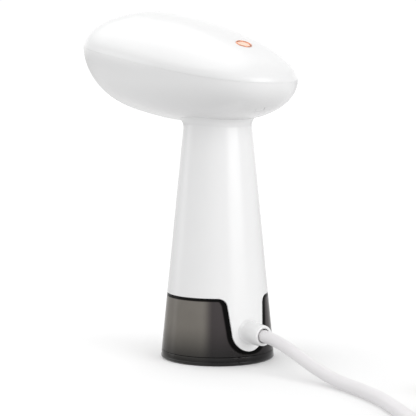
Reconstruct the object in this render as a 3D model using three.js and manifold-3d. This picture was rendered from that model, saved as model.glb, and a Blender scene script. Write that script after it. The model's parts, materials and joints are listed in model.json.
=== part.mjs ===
// A handheld garment steamer that stands upright on its own water tank.
//
// Frame: millimetres, +Z up. The origin is the middle of the tank's underside, on the handle's axis.
// The steam plate faces -Y, the mains cord leaves towards +Y, and the object is symmetric about X = 0.
// A conical handle carries the head, its lower end is the tank, and a tongue of the handle runs down
// the back of the tank to the cord gland.
import * as THREE from 'three';
import { mergeVertices } from 'three/addons/utils/BufferGeometryUtils.js';
import Module from 'manifold-3d';

const wasm = await Module();
wasm.setup();

const radians = THREE.MathUtils.degToRad;
const vec3 = (x, y, z) => new THREE.Vector3(x, y, z);

// ---------------------------------------------------------------- driving dimensions

const GAP = 0.3;                     // clearance between two pieces that touch
const ROUND = 36;                    // sides of a large round piece
const FINE = 12;                     // sides of a small round piece

// Handle: a cone that the tank continues down to the floor
const FOOT_RADIUS = 38.8;            // radius of the cone at the floor
const TAPER = 0.0995;                // radius lost per millimetre of height
const WALL = 2.2;                    // handle and tank walls
const SPIGOT_RADIUS = 20.3;          // round end of the handle inside the head
const SPIGOT_TOP = 173;
const SHOULDER_Z = 155;              // where the handle's bore narrows to the spigot
const NECK_TOP = 168;                // the cone is trimmed below this by the underside of the head

// Head: an egg that is blunt in front, tilted nose up about its widest point
const HEAD_CENTRE = vec3(0, -63.4, 206.1);
const HEAD_TILT = radians(8.8);
const HEAD_FRONT = 68.3;             // centre to the nose, before the steam plate cuts it off
const HEAD_BACK = 127.4;             // centre to the tail
const HEAD_HALF_WIDTH = 51.1;
const HEAD_CROWN = 30.9;             // height above the seam between the shells
const HEAD_BELLY = 41.75;            // depth below the seam
const FRONT_POWER = 2.35;            // how square each stretch of the egg is; 2 is an ellipse
const BACK_POWER = 2.6;
const CROWN_POWER = 1.83;
const BELLY_POWER = 2.12;
const HEAD_SIDES = 36;               // facets round the egg
const HEAD_WALL = 2.4;
const SEAT_RADIUS = 25;              // thick ring of the lower shell that the neck nut clamps
const SEAT_TOP = 166;

// Steam plate: y runs back into the head from the plate's face, z up along the face
const PLATE_LEAN = radians(27.7);
const PLATE_CENTRE = vec3(0, -97.6, 199);
const PLATE_RIM = 0.9;               // thickness of the plate's visible rim
const PLATE_DEPTH = 3.6;             // thickness of the plate where it seats in its frame
const PLATE_INSET = 5;               // how far the thick part stays inside the outline
const FRAME_FRONT = PLATE_RIM + GAP;
const FRAME_BACK = 5.4;
const FRAME_LEDGE = 2.2;             // width of the ledge that the plate seats on
const LIP_DEPTH = 3.4;               // how far the frame reaches inside the shells
const LIP_WALL = 1.8;
const HOLE_RADIUS = 1.5;
const HOLE_RINGS = [[12, 0.62], [6, 0.3]];   // steam holes: how many, and at what share of the plate

// Heater, behind the plate
const BLOCK_HALF_WIDTH = 34;
const BLOCK_HALF_HEIGHT = 25.4;
const BLOCK_FRONT = 5.2;
const BLOCK_BACK = 17;
const CHAMBER_WALL = 4.5;
const CHAMBER_DEPTH = 5.8;
const GASKET_WIDTH = 3;
const EAR_X = 27.6;
const EAR_Z = 21.8;
const EAR_RADIUS = 3.8;
const EAR_FRONT = 9.4;
const EAR_THICKNESS = 2;
const ELEMENT_RADIUS = 3;
const ELEMENT_RING = 17.6;
const ELEMENT_OPENING = radians(32);         // half the angle that the ring leaves open at its foot
const ELEMENT_END = 28;
const INLET_Z = -19.5;
const THERMOSTAT_RADIUS = 8;
const THERMOSTAT_DEPTH = 8.5;
const FUSE_RADIUS = 2.1;
const FUSE_LENGTH = 8;
const FUSE_Z = 11.4;
const SHIELD_FRONT = 29.5;
const SHIELD_THICKNESS = 1.2;
const SHIELD_HALF_WIDTH = 28;
const SHIELD_HALF_HEIGHT = 16;

// Power button, on the head's back, and the board under it; z is out of the shell there
const BUTTON_CENTRE = vec3(0, 29.6, 212.2);
const BUTTON_LEAN = radians(23.5);
const BUTTON_RADIUS = 4.2;
const RING_RADIUS = 5.5;
const RING_HEIGHT = 3.35;
const RING_PROUD = 0.35;
const BUTTON_TRAVEL = 0.6;
const BUTTON_STEM_END = 5;
const BOARD_TOP = -10.4;
const BOARD_THICKNESS = 1.6;
const BOARD_WIDTH = 42;
const BOARD_LENGTH = 28;
const BOARD_POST_X = 16.5;
const SCREW_SHANK = 1.1;

// Rear shell screw, under its plug
const SHELL_SCREW_Y = 47;
const SHELL_SCREW_SEAT = 174;
const SHELL_BOSS_RADIUS = 4.6;
const PLUG_RADIUS = 3.2;

// Water tank
const TANK_TOP = 44.2;
const BASE_HEIGHT = 5.8;
const BASE_FLOOR = 2.4;
const BASE_SPIGOT_TOP = 9.6;
const COLLAR_RADIUS = 30.2;          // the part of the tank that plugs into the handle
const COLLAR_TOP = 49;
const DECK_THICKNESS = 2.2;
const NOZZLE_Y = -14;
const VALVE_RADIUS = 6;
const VALVE_FLANGE = 8;
const FILLER_X = -16;
const FILLER_Y = 3;
const FILLER_RADIUS = 7.2;
const FILLER_CAP_RADIUS = 9.6;
const FILTER_TOP = 11.6;
const FILTER_RADIUS = 6;

// Tongue of the handle, down the back of the tank, and the cord gland in it
const GLAND_Z = 21.4;
const TONGUE_RADIUS = 12.5;          // round lower end, about the gland
const TONGUE_TOP_HALF = 14.3;        // half its width where the corner fillets start
const TONGUE_FILLET = 5.4;
const TONGUE_FRONT = 17;
const TONGUE_TOP = 60;
const GLAND_BASE_RADIUS = 7.7;
const GLAND_MOUTH_RADIUS = 6.5;
const GLAND_SHAFT_RADIUS = 5.9;
const GLAND_LENGTH = 16.2;           // from the tongue's surface to the mouth
const CORD_RADIUS = 4.1;
const CORD_BORE = 4.7;
const CLAMP_FRONT = 25.3;
const CLAMP_BACK = 29.3;
const CLAMP_INNER = CORD_RADIUS + GAP;
const CLAMP_OUTER = TONGUE_RADIUS - WALL - GAP;
const CLAMP_SCREW_X = (CLAMP_INNER + CLAMP_OUTER) / 2;
const CLAMP_BOSS_RADIUS = (CLAMP_OUTER - CLAMP_INNER) / 2;

// Inside the handle
const FLOOR_Z = 52;
const FLOOR_THICKNESS = 3;
const HOSE_RADIUS = 3.3;
const BARB_RADIUS = 1.9;
const PUMP_BOTTOM = 80;
const PUMP_LENGTH = 44;
const PUMP_RADIUS = 6;
const BARB_LENGTH = 4;
const COIL_BOTTOM = 89;
const COIL_HEIGHT = 26;
const COIL_WIDTH = 28;
const COIL_DEPTH = 24;
const YOKE_THICKNESS = 1.3;
const MOUNT_RADIUS = 10.4;
const MOUNT_HEIGHT = 4.4;
const SHELF_THICKNESS = 2.6;
const CRADLE_BACK = 15;
const CRADLE_THICKNESS = 1.6;
const CRADLE_WIDTH = 18;

// Steam trigger, on the front of the handle below the head
const TRIGGER_Z = 140;
const TRIGGER_WIDTH = 12;
const TRIGGER_HEIGHT = 24;
const TRIGGER_PROUD = 1.6;
const TRIGGER_TRAVEL = 2.5;
const TRIGGER_FLANGE_Y = -19;
const TRIGGER_FLANGE_THICKNESS = 1.6;
const CARRIER_Y = -11;
const CARRIER_THICKNESS = 1.6;

// Cord: the stretch from the gland to the coil, chosen by hand, then a round coil and the plug
const CORD_POINTS = [
  [0, 24.8, 21.4], [0, 40, 21.4], [0, 53, 21.2], [0, 64, 20.1], [0, 74, 18], [0, 84, 15.3],
  [0.2, 94, 12.4], [0.6, 104, 9.7], [1.2, 115, 7.3], [2, 127, 5.3], [3.4, 142, 4.4],
  [6.4, 160, 4.3], [12.5, 182, 4.3], [21.5, 204, 4.3], [32, 226, 4.5], [40.5, 243, 5],
  [45, 253.6, 5.4],
];
const TAIL_POINTS = [[-47.6, 256.4, 11.9], [-47.8, 252, 10.3], [-48, 247, 9.1], [-48, 242, 8.7]];
const COIL_X = 0;
const COIL_Y = 287;
const COIL_BASE = 1.6;
const COIL_INNER = 34.9;
const COIL_OUTER = 51.4;
const COIL_LAYERS = 24.8;
const TIE_WIDTH = 9;
const TIE_THICKNESS = 1.2;
const PLUG_X = -48;
const PLUG_Z = 8.7;
const BOOT_START = 241.6;
const BOOT_LENGTH = 22;
const PLUG_LENGTH = 34;
const PLUG_WIDTH = 34;
const PLUG_THICKNESS = 17;
const PIN_RADIUS = 2.4;
const PIN_LENGTH = 19;
const PIN_SPACING = 19;

// ---------------------------------------------------------------- solids

// A closed geometry as a solid that can be joined and cut.
function solid(geometry) {
  geometry.deleteAttribute('normal');
  geometry.deleteAttribute('uv');
  const merged = mergeVertices(geometry, 1e-4);
  const index = merged.index.array;
  const triangles = [];
  for (let i = 0; i < index.length; i += 3) {
    const [a, b, c] = [index[i], index[i + 1], index[i + 2]];
    if (a !== b && b !== c && c !== a) {
      triangles.push(a, b, c);
    }
  }
  const vertProperties = new Float32Array(merged.attributes.position.array);
  const triVerts = new Uint32Array(triangles);
  return new wasm.Manifold(new wasm.Mesh({ numProp: 3, vertProperties, triVerts }));
}

function geometryOf(body) {
  const mesh = body.getMesh();
  const geometry = new THREE.BufferGeometry();
  geometry.setAttribute('position', new THREE.BufferAttribute(new Float32Array(mesh.vertProperties), 3));
  geometry.setIndex(new THREE.BufferAttribute(new Uint32Array(mesh.triVerts), 1));
  return geometry;
}

// A solid of revolution about Z from [radius, height] pairs, going up its outside.
function revolve(profile, sides = FINE) {
  const points = profile.map(([radius, height]) => new THREE.Vector2(radius, height));
  return new THREE.LatheGeometry(points, sides).rotateX(Math.PI / 2);
}

// A ring of revolution: the outline closes on itself.
function revolveRing(profile, sides = FINE) {
  return revolve([...profile, profile[0]], sides);
}

function cylinder(radius, bottom, top, sides = FINE) {
  return revolve([[0, bottom], [radius, bottom], [radius, top], [0, top]], sides);
}

function tube(inner, outer, bottom, top, sides = FINE) {
  return revolveRing([[inner, bottom], [outer, bottom], [outer, top], [inner, top]], sides);
}

function box(x0, x1, y0, y1, z0, z1) {
  const geometry = new THREE.BoxGeometry(x1 - x0, y1 - y0, z1 - z0);
  return geometry.translate((x0 + x1) / 2, (y0 + y1) / 2, (z0 + z1) / 2);
}

// A geometry made along +Z, turned to run along +Y.
function alongY(geometry) {
  return geometry.rotateX(-Math.PI / 2);
}

// A shape drawn in x and z, pushed from y = near to y = far.
function slabY(shape, near, far, curveSegments = 8) {
  const geometry = new THREE.ExtrudeGeometry(shape, {
    depth: far - near, bevelEnabled: false, curveSegments,
  });
  return geometry.rotateX(Math.PI / 2).translate(0, far, 0);
}

// A round rod, or a hose with a bore, along a smooth curve through the points.
function rodAlong(points, radius, sides, steps, bore = 0) {
  const section = new THREE.Shape();
  section.absarc(0, 0, radius, 0, 2 * Math.PI, false);
  if (bore > 0) {
    const hole = new THREE.Path();
    hole.absarc(0, 0, bore, 0, 2 * Math.PI, true);
    section.holes.push(hole);
  }
  return new THREE.ExtrudeGeometry(section, {
    extrudePath: new THREE.CatmullRomCurve3(points), steps, bevelEnabled: false, curveSegments: sides / 2,
  });
}

function ellipse(halfWidth, halfHeight) {
  const shape = new THREE.Shape();
  shape.absellipse(0, 0, halfWidth, halfHeight, 0, 2 * Math.PI, false);
  return shape;
}

function roundedBox(width, height, radius) {
  const [w, h] = [width / 2, height / 2];
  const shape = new THREE.Shape();
  shape.moveTo(w, -h + radius);
  shape.absarc(w - radius, h - radius, radius, 0, Math.PI / 2, false);
  shape.absarc(-w + radius, h - radius, radius, Math.PI / 2, Math.PI, false);
  shape.absarc(-w + radius, -h + radius, radius, Math.PI, 1.5 * Math.PI, false);
  shape.absarc(w - radius, -h + radius, radius, 1.5 * Math.PI, 2 * Math.PI, false);
  return shape;
}

// A screw that points along +Z, with its head's outer face at z = 0.
function screw(headRadius, headHeight, shankRadius, length) {
  return revolve([
    [0, 0], [headRadius, 0], [headRadius, headHeight], [shankRadius, headHeight],
    [shankRadius, length - shankRadius], [0, length],
  ], 12);
}

// ---------------------------------------------------------------- shared forms

const coneRadius = (z) => FOOT_RADIUS - TAPER * z;
const boreRadius = (z) => coneRadius(z) - WALL;
const signedPower = (value, power) => Math.sign(value) * Math.abs(value) ** power;

// The egg of the head, shrunk by inset all round, in the object's frame.
function headForm(inset) {
  const geometry = new THREE.SphereGeometry(1, HEAD_SIDES, HEAD_SIDES / 2).rotateX(Math.PI / 2);
  const position = geometry.attributes.position;
  for (let i = 0; i < position.count; i += 1) {
    const [x, y, z] = [position.getX(i), position.getY(i), position.getZ(i)];
    const flat = Math.hypot(x, y) || 1;
    const plan = 2 / (y > 0 ? BACK_POWER : FRONT_POWER);
    const side = 2 / (z > 0 ? CROWN_POWER : BELLY_POWER);
    const reach = Math.min(flat, Math.hypot(x, y)) ** side;
    const length = (y > 0 ? HEAD_BACK : HEAD_FRONT) - inset;
    const height = (z > 0 ? HEAD_CROWN : HEAD_BELLY) - inset;
    position.setXYZ(i,
      (HEAD_HALF_WIDTH - inset) * reach * signedPower(x / flat, plan),
      length * reach * signedPower(y / flat, plan),
      height * signedPower(z, side));
  }
  return geometry.rotateX(-HEAD_TILT).translate(HEAD_CENTRE.x, HEAD_CENTRE.y, HEAD_CENTRE.z);
}

// Everything above, or below, the head's seam, less half a gap.
function headHalf(above) {
  const reach = 200;
  const block = above
    ? box(-reach, reach, -reach, reach, GAP / 2, reach)
    : box(-reach, reach, -reach, reach, -reach, -GAP / 2);
  return block.rotateX(-HEAD_TILT).translate(HEAD_CENTRE.x, HEAD_CENTRE.y, HEAD_CENTRE.z);
}

const plateSeat = new THREE.Group();
plateSeat.position.copy(PLATE_CENTRE);
plateSeat.rotation.x = PLATE_LEAN;
plateSeat.updateMatrixWorld();

const buttonSeat = new THREE.Group();
buttonSeat.position.copy(BUTTON_CENTRE);
buttonSeat.rotation.x = -BUTTON_LEAN;
buttonSeat.updateMatrixWorld();

// A slice of the head's form between two depths behind the plate's face, in the plate's frame.
function plateSlice(inset, front, back) {
  const reach = 90;
  const form = headForm(inset).applyMatrix4(plateSeat.matrixWorld.clone().invert());
  return solid(form).intersect(solid(box(-reach, reach, front, back, -reach, reach)));
}

// Outline of the handle's tongue in x and z, below the handle's lower edge, grown outwards all round.
function tongueOutline(grow) {
  const corner = TONGUE_TOP_HALF + TONGUE_FILLET;
  const cornerZ = TANK_TOP + GAP - TONGUE_FILLET;
  const fillet = TONGUE_FILLET - grow;
  const shape = new THREE.Shape();
  shape.moveTo(corner + grow, TONGUE_TOP);
  shape.lineTo(-corner - grow, TONGUE_TOP);
  if (grow > 0) {
    shape.lineTo(-corner - grow, cornerZ + fillet);
  }
  shape.absarc(-corner, cornerZ, fillet, Math.PI / 2, 0, true);
  shape.absarc(0, GLAND_Z, TONGUE_RADIUS + grow, Math.PI, 2 * Math.PI, false);
  shape.absarc(corner, cornerZ, fillet, Math.PI, Math.PI / 2, true);
  if (grow > 0) {
    shape.lineTo(corner + grow, cornerZ + fillet);
  }
  return shape;
}

// The tongue's hollow, which opens into the handle above it.
function tongueHollow() {
  const half = TONGUE_TOP_HALF - WALL;
  const shape = new THREE.Shape();
  shape.moveTo(half, TONGUE_TOP + WALL);
  shape.lineTo(-half, TONGUE_TOP + WALL);
  shape.lineTo(-half, TANK_TOP - TONGUE_FILLET);
  shape.absarc(0, GLAND_Z, TONGUE_RADIUS - WALL, Math.PI, 2 * Math.PI, false);
  shape.lineTo(half, TANK_TOP - TONGUE_FILLET);
  return slabY(shape, TONGUE_FRONT + WALL, FOOT_RADIUS);
}

// ---------------------------------------------------------------- the scene

const steamer = new THREE.Group();
steamer.add(plateSeat, buttonSeat);

function add(name, geometry, color, roughness, metalness, parent = steamer) {
  const material = new THREE.MeshStandardMaterial({ color, roughness, metalness });
  const mesh = new THREE.Mesh(geometry, material);
  mesh.name = name;
  parent.add(mesh);
  return mesh;
}

const white = (name, geometry, parent) => add(name, geometry, 0xf3f3f2, 0.28, 0, parent);
const grey = (name, geometry, parent) => add(name, geometry, 0x8d8f90, 0.5, 0, parent);
const steel = (name, geometry, parent) => add(name, geometry, 0xb9bcbe, 0.35, 1, parent);
const brass = (name, geometry, parent) => add(name, geometry, 0xc9a45c, 0.35, 1, parent);
const silicone = (name, geometry, parent) => add(name, geometry, 0xe4ded2, 0.6, 0, parent);
const smoke = (name, geometry, parent) => add(name, geometry, 0x3b3936, 0.15, 0, parent);

// ---------------------------------------------------------------- head

// The shells stop behind the frame of the steam plate.
function frontCut() {
  const reach = 120;
  const block = box(-reach, reach, -reach, FRAME_BACK + GAP, -reach, reach);
  return solid(block.applyMatrix4(plateSeat.matrixWorld));
}

function shellScrewAt(geometry) {
  return solid(geometry.translate(0, SHELL_SCREW_Y, 0));
}

function lowerShell() {
  const form = solid(headForm(0));
  const seat = solid(cylinder(SEAT_RADIUS, SHOULDER_Z, SEAT_TOP, ROUND)).intersect(form);
  const boss = shellScrewAt(cylinder(SHELL_BOSS_RADIUS, SHOULDER_Z, HEAD_CENTRE.z))
    .intersect(solid(headForm(HEAD_WALL / 2)));
  const counterbore = shellScrewAt(cylinder(PLUG_RADIUS + GAP, SHOULDER_Z, SHELL_SCREW_SEAT));
  const screwHole = shellScrewAt(cylinder(SCREW_SHANK + GAP, SHOULDER_Z, HEAD_CENTRE.z));
  const neckHole = solid(cylinder(SPIGOT_RADIUS + GAP, SHOULDER_Z - 5, SPIGOT_TOP, ROUND));
  return form.subtract(solid(headForm(HEAD_WALL)))
    .add(seat).add(boss)
    .intersect(solid(headHalf(false)))
    .subtract(frontCut()).subtract(counterbore).subtract(screwHole).subtract(neckHole);
}

function upperShell() {
  const form = solid(headForm(0));
  const within = solid(headForm(HEAD_WALL / 2));
  const post = shellScrewAt(cylinder(SHELL_BOSS_RADIUS - 1, SHOULDER_Z, HEAD_CENTRE.z + HEAD_CROWN));
  const pilot = shellScrewAt(cylinder(SCREW_SHANK + GAP, SHOULDER_Z, HEAD_CENTRE.z - HEAD_WALL * 4));
  let shell = form.subtract(solid(headForm(HEAD_WALL))).add(post.intersect(within));
  for (const x of [-BOARD_POST_X, BOARD_POST_X]) {
    const boardPost = cylinder(3, BOARD_TOP + GAP, -1).translate(x, 0, 0);
    const boardPilot = cylinder(SCREW_SHANK + GAP, BOARD_TOP, BOARD_TOP + 5).translate(x, 0, 0);
    shell = shell.add(solid(boardPost.applyMatrix4(buttonSeat.matrixWorld)).intersect(within));
    shell = shell.subtract(solid(boardPilot.applyMatrix4(buttonSeat.matrixWorld)));
  }
  const buttonHole = cylinder(RING_RADIUS + GAP, -8, 5, ROUND / 2);
  return shell.intersect(solid(headHalf(true)))
    .subtract(frontCut()).subtract(pilot)
    .subtract(solid(buttonHole.applyMatrix4(buttonSeat.matrixWorld)));
}

// A disc of the shell's own curve that hides the screw.
function screwPlug() {
  const skin = solid(headForm(0)).subtract(solid(headForm(HEAD_WALL)));
  return skin.intersect(shellScrewAt(cylinder(PLUG_RADIUS, SHOULDER_Z, SHELL_SCREW_SEAT - 1.8 - 2 * GAP)));
}

function buildHead() {
  white('upper_shell', geometryOf(upperShell()));
  white('lower_shell', geometryOf(lowerShell()));
  white('screw_plug', geometryOf(screwPlug()));
  const shellScrew = steel('shell_screw', screw(2.6, 1.8, SCREW_SHANK, 18));
  shellScrew.position.set(0, SHELL_SCREW_Y, SHELL_SCREW_SEAT - 1.8 - GAP);
  grey('neck_nut', tube(SPIGOT_RADIUS + GAP, SEAT_RADIUS - 1.6, SEAT_TOP + GAP, SEAT_TOP + 4.6, 24));
}

function buildButton() {
  const ringBottom = RING_PROUD - RING_HEIGHT;
  const flangeTop = ringBottom - GAP;
  const ring = tube(BUTTON_RADIUS + GAP, RING_RADIUS, ringBottom, RING_PROUD, 28);
  add('button_ring', ring, 0xd8a98f, 0.25, 0.8, buttonSeat);
  const cap = revolve([
    [0, -BUTTON_STEM_END], [1.8, -BUTTON_STEM_END], [1.8, flangeTop - 1.2],
    [RING_RADIUS - GAP, flangeTop - 1.2], [RING_RADIUS - GAP, flangeTop], [BUTTON_RADIUS, flangeTop],
    [BUTTON_RADIUS, -0.1], [BUTTON_RADIUS * 0.8, 0.15], [0, 0.3],
  ], 24);
  add('power_button', cap, 0xf6cfb9, 0.4, 0, buttonSeat);
  const switchTop = -BUTTON_STEM_END - BUTTON_TRAVEL - GAP;
  const switchBody = solid(box(-3, 3, -3, 3, BOARD_TOP + GAP, switchTop - 0.8))
    .add(solid(cylinder(1.6, BOARD_TOP + 1, switchTop, 12)));
  add('tact_switch', geometryOf(switchBody), 0x2b2b2b, 0.5, 0, buttonSeat);
  const led = revolve([[0, 0], [1.5, 0], [1.5, 1.6], [1.1, 2.4], [0, 2.7]], 12);
  add('status_led', led, 0xffe9dc, 0.2, 0, buttonSeat).position.set(8, 0, BOARD_TOP + GAP);
}

function buildBoard() {
  const bottom = BOARD_TOP - BOARD_THICKNESS;
  const [halfWidth, halfLength] = [BOARD_WIDTH / 2, BOARD_LENGTH / 2];
  let board = solid(box(-halfWidth, halfWidth, -halfLength, halfLength, bottom, BOARD_TOP));
  [-BOARD_POST_X, BOARD_POST_X].forEach((x, i) => {
    board = board.subtract(solid(cylinder(SCREW_SHANK + GAP, bottom - 1, BOARD_TOP + 1, 12)
      .translate(x, 0, 0)));
    const boardScrew = steel(`board_screw_${i + 1}`, screw(2.2, 1.4, SCREW_SHANK, 7), buttonSeat);
    boardScrew.position.set(x, 0, bottom - 1.4 - GAP);
  });
  add('control_board', geometryOf(board), 0x2f6b44, 0.5, 0, buttonSeat);
}

// ---------------------------------------------------------------- steam plate and heater

function steamPlate() {
  let plate = plateSlice(0.8, 0, PLATE_RIM).add(plateSlice(PLATE_INSET, PLATE_RIM / 3, PLATE_DEPTH));
  for (const [count, share] of HOLE_RINGS) {
    for (let i = 0; i < count; i += 1) {
      const angle = (2 * Math.PI * i) / count;
      const hole = alongY(cylinder(HOLE_RADIUS, -1, PLATE_DEPTH + 1, 8));
      const x = BLOCK_HALF_WIDTH * share * Math.cos(angle);
      const z = BLOCK_HALF_HEIGHT * share * Math.sin(angle);
      hole.translate(x, 0, z);
      plate = plate.subtract(solid(hole));
    }
  }
  return plate;
}

const EARS = [[-EAR_X, EAR_Z], [EAR_X, -EAR_Z]];
const EAR_BACK = EAR_FRONT + EAR_THICKNESS;

function plateFrame() {
  const lipInset = HEAD_WALL + GAP;
  const lipBack = FRAME_BACK + LIP_DEPTH;
  const lip = plateSlice(lipInset, FRAME_BACK - 1, lipBack)
    .subtract(plateSlice(lipInset + LIP_WALL, FRAME_FRONT, lipBack + 1));
  let frame = plateSlice(0, FRAME_FRONT, FRAME_BACK)
    .subtract(plateSlice(PLATE_INSET - GAP, 0, PLATE_DEPTH + GAP))
    .subtract(plateSlice(PLATE_INSET + FRAME_LEDGE, 0, FRAME_BACK + 1))
    .add(lip);
  for (const [x, z] of EARS) {
    const boss = alongY(cylinder(EAR_RADIUS, PLATE_DEPTH + GAP, EAR_FRONT - GAP));
    frame = frame.add(solid(boss.translate(x, 0, z)));
    const pilot = alongY(cylinder(SCREW_SHANK + GAP, FRAME_BACK, EAR_FRONT, 12));
    frame = frame.subtract(solid(pilot.translate(x, 0, z)));
  }
  return frame;
}

// The heating element: a ring open at its foot, its two ends turned back out of the block.
function elementPoints() {
  const points = [];
  const first = -Math.PI / 2 + ELEMENT_OPENING;
  const last = 1.5 * Math.PI - ELEMENT_OPENING;
  const count = 14;
  for (let i = 0; i <= count; i += 1) {
    const angle = first + ((last - first) * i) / count;
    points.push(vec3(ELEMENT_RING * Math.cos(angle), BLOCK_BACK, ELEMENT_RING * Math.sin(angle)));
  }
  const end = points[0];
  const bend = vec3(end.x - 2.5, BLOCK_BACK + 3, end.z - 1.5);
  const tip = vec3(end.x - 3, ELEMENT_END, end.z - 1.8);
  const mirrored = (point) => vec3(-point.x, point.y, point.z);
  return [tip, bend, ...points, mirrored(bend), mirrored(tip)];
}

function heaterBlock() {
  let block = solid(slabY(ellipse(BLOCK_HALF_WIDTH, BLOCK_HALF_HEIGHT), BLOCK_FRONT, BLOCK_BACK, 14));
  for (const [x, z] of EARS) {
    const reach = Math.hypot(x, z);
    const rib = box(0, reach, EAR_FRONT, EAR_BACK, -2.4, 2.4).rotateY(-Math.atan2(z, x));
    const ear = alongY(cylinder(EAR_RADIUS, EAR_FRONT, EAR_BACK)).translate(x, 0, z);
    const hole = alongY(cylinder(SCREW_SHANK + GAP, EAR_FRONT - 1, EAR_BACK + 1, 12)).translate(x, 0, z);
    block = block.add(solid(rib)).add(solid(ear)).subtract(solid(hole));
  }
  const chamber = slabY(ellipse(BLOCK_HALF_WIDTH - CHAMBER_WALL, BLOCK_HALF_HEIGHT - CHAMBER_WALL),
    BLOCK_FRONT - 1, BLOCK_FRONT + CHAMBER_DEPTH, 14);
  const inlet = alongY(cylinder(1.2, BLOCK_FRONT, BLOCK_BACK + 1, 10)).translate(0, 0, INLET_Z);
  const groove = rodAlong(elementPoints(), ELEMENT_RADIUS + GAP, 8, 44);
  return block.subtract(solid(chamber)).subtract(solid(inlet)).subtract(solid(groove));
}

function buildHeater() {
  const back = BLOCK_BACK + GAP;
  add('steam_plate', geometryOf(steamPlate()), 0x4a4b4d, 0.3, 0.9, plateSeat);
  white('plate_frame', geometryOf(plateFrame()), plateSeat);

  const gasket = ellipse(BLOCK_HALF_WIDTH - 0.5, BLOCK_HALF_HEIGHT - 0.5);
  gasket.holes.push(ellipse(BLOCK_HALF_WIDTH - 0.5 - GASKET_WIDTH, BLOCK_HALF_HEIGHT - 0.5 - GASKET_WIDTH));
  silicone('steam_gasket', slabY(gasket, PLATE_DEPTH + GAP, BLOCK_FRONT - GAP, 14), plateSeat);

  add('heater_block', geometryOf(heaterBlock()), 0xa9abad, 0.5, 0.9, plateSeat);
  steel('heating_element', rodAlong(elementPoints(), ELEMENT_RADIUS, 8, 44), plateSeat);

  const inlet = revolveRing([
    [1.1, back], [3.6, back], [3.6, back + 1.7], [BARB_RADIUS, back + 1.7],
    [BARB_RADIUS, back + 8], [1.1, back + 8],
  ], 12);
  brass('steam_inlet', alongY(inlet), plateSeat).position.z = INLET_Z;

  const bladeTop = back + THERMOSTAT_DEPTH + 3;
  let thermostat = solid(alongY(cylinder(THERMOSTAT_RADIUS, back, back + THERMOSTAT_DEPTH, 20)));
  for (const x of [-4, 4]) {
    thermostat = thermostat.add(solid(box(x - 0.4, x + 0.4, back + 1, bladeTop, -2, 2)));
  }
  add('thermostat', geometryOf(thermostat), 0x35322f, 0.5, 0.1, plateSeat);

  const fuse = cylinder(FUSE_RADIUS, -FUSE_LENGTH / 2, FUSE_LENGTH / 2, 12).rotateY(Math.PI / 2);
  add('thermal_fuse', fuse, 0xd9d4c8, 0.4, 0.2, plateSeat).position.set(0, back + FUSE_RADIUS, FUSE_Z);

  const shield = slabY(ellipse(SHIELD_HALF_WIDTH, SHIELD_HALF_HEIGHT), SHIELD_FRONT,
    SHIELD_FRONT + SHIELD_THICKNESS, 12);
  steel('heat_shield', shield, plateSeat);

  EARS.forEach(([x, z], i) => {
    const heaterScrew = steel(`heater_screw_${i + 1}`, screw(2.6, 1.6, SCREW_SHANK, 7.2), plateSeat);
    heaterScrew.position.set(x, EAR_BACK + 1.6 + GAP, z);
    heaterScrew.rotation.x = Math.PI / 2;
  });
}

// ---------------------------------------------------------------- handle

function handleShell() {
  const bottom = TANK_TOP + GAP;
  const innerSpigot = SPIGOT_RADIUS - WALL;
  const cone = solid(revolve([
    [0, bottom], [coneRadius(bottom), bottom], [coneRadius(NECK_TOP), NECK_TOP], [0, NECK_TOP],
  ], ROUND)).subtract(solid(headForm(-GAP)));
  const spigot = solid(cylinder(SPIGOT_RADIUS, SHOULDER_Z, SPIGOT_TOP, ROUND));
  const bore = solid(revolve([
    [0, bottom - 1], [boreRadius(bottom - 1), bottom - 1], [boreRadius(SHOULDER_Z), SHOULDER_Z],
    [innerSpigot, SHOULDER_Z + 2], [innerSpigot, SPIGOT_TOP + 1], [0, SPIGOT_TOP + 1],
  ], ROUND));
  const fullCone = solid(revolve([
    [0, 0], [FOOT_RADIUS, 0], [coneRadius(TONGUE_TOP), TONGUE_TOP], [0, TONGUE_TOP],
  ], ROUND));
  const fullBore = solid(revolve([
    [0, 0], [boreRadius(0), 0], [boreRadius(TONGUE_TOP + WALL), TONGUE_TOP + WALL],
    [0, TONGUE_TOP + WALL],
  ], ROUND));
  const tongue = solid(slabY(tongueOutline(0), TONGUE_FRONT, FOOT_RADIUS)).intersect(fullCone);
  let shell = cone.add(spigot).subtract(bore).add(tongue)
    .subtract(solid(tongueHollow()).intersect(fullBore));
  for (const x of [-CLAMP_SCREW_X, CLAMP_SCREW_X]) {
    const boss = alongY(cylinder(CLAMP_BOSS_RADIUS, TONGUE_FRONT + 1, CLAMP_FRONT - GAP, 12));
    const pilot = alongY(cylinder(SCREW_SHANK + GAP, TONGUE_FRONT + 1, CLAMP_FRONT, 10));
    shell = shell.add(solid(boss.translate(x, 0, GLAND_Z)));
    shell = shell.subtract(solid(pilot.translate(x, 0, GLAND_Z)));
  }
  const glandHole = alongY(cylinder(GLAND_SHAFT_RADIUS + GAP, FOOT_RADIUS - 10, FOOT_RADIUS, 20));
  const triggerOutline = roundedBox(TRIGGER_WIDTH + 2 * GAP, TRIGGER_HEIGHT + 2 * GAP, TRIGGER_WIDTH / 2);
  const triggerHole = slabY(triggerOutline, -FOOT_RADIUS, TRIGGER_FLANGE_Y + TRIGGER_FLANGE_THICKNESS, 6);
  return shell.subtract(solid(glandHole.translate(0, 0, GLAND_Z)))
    .subtract(solid(triggerHole.translate(0, 0, TRIGGER_Z)));
}

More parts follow.
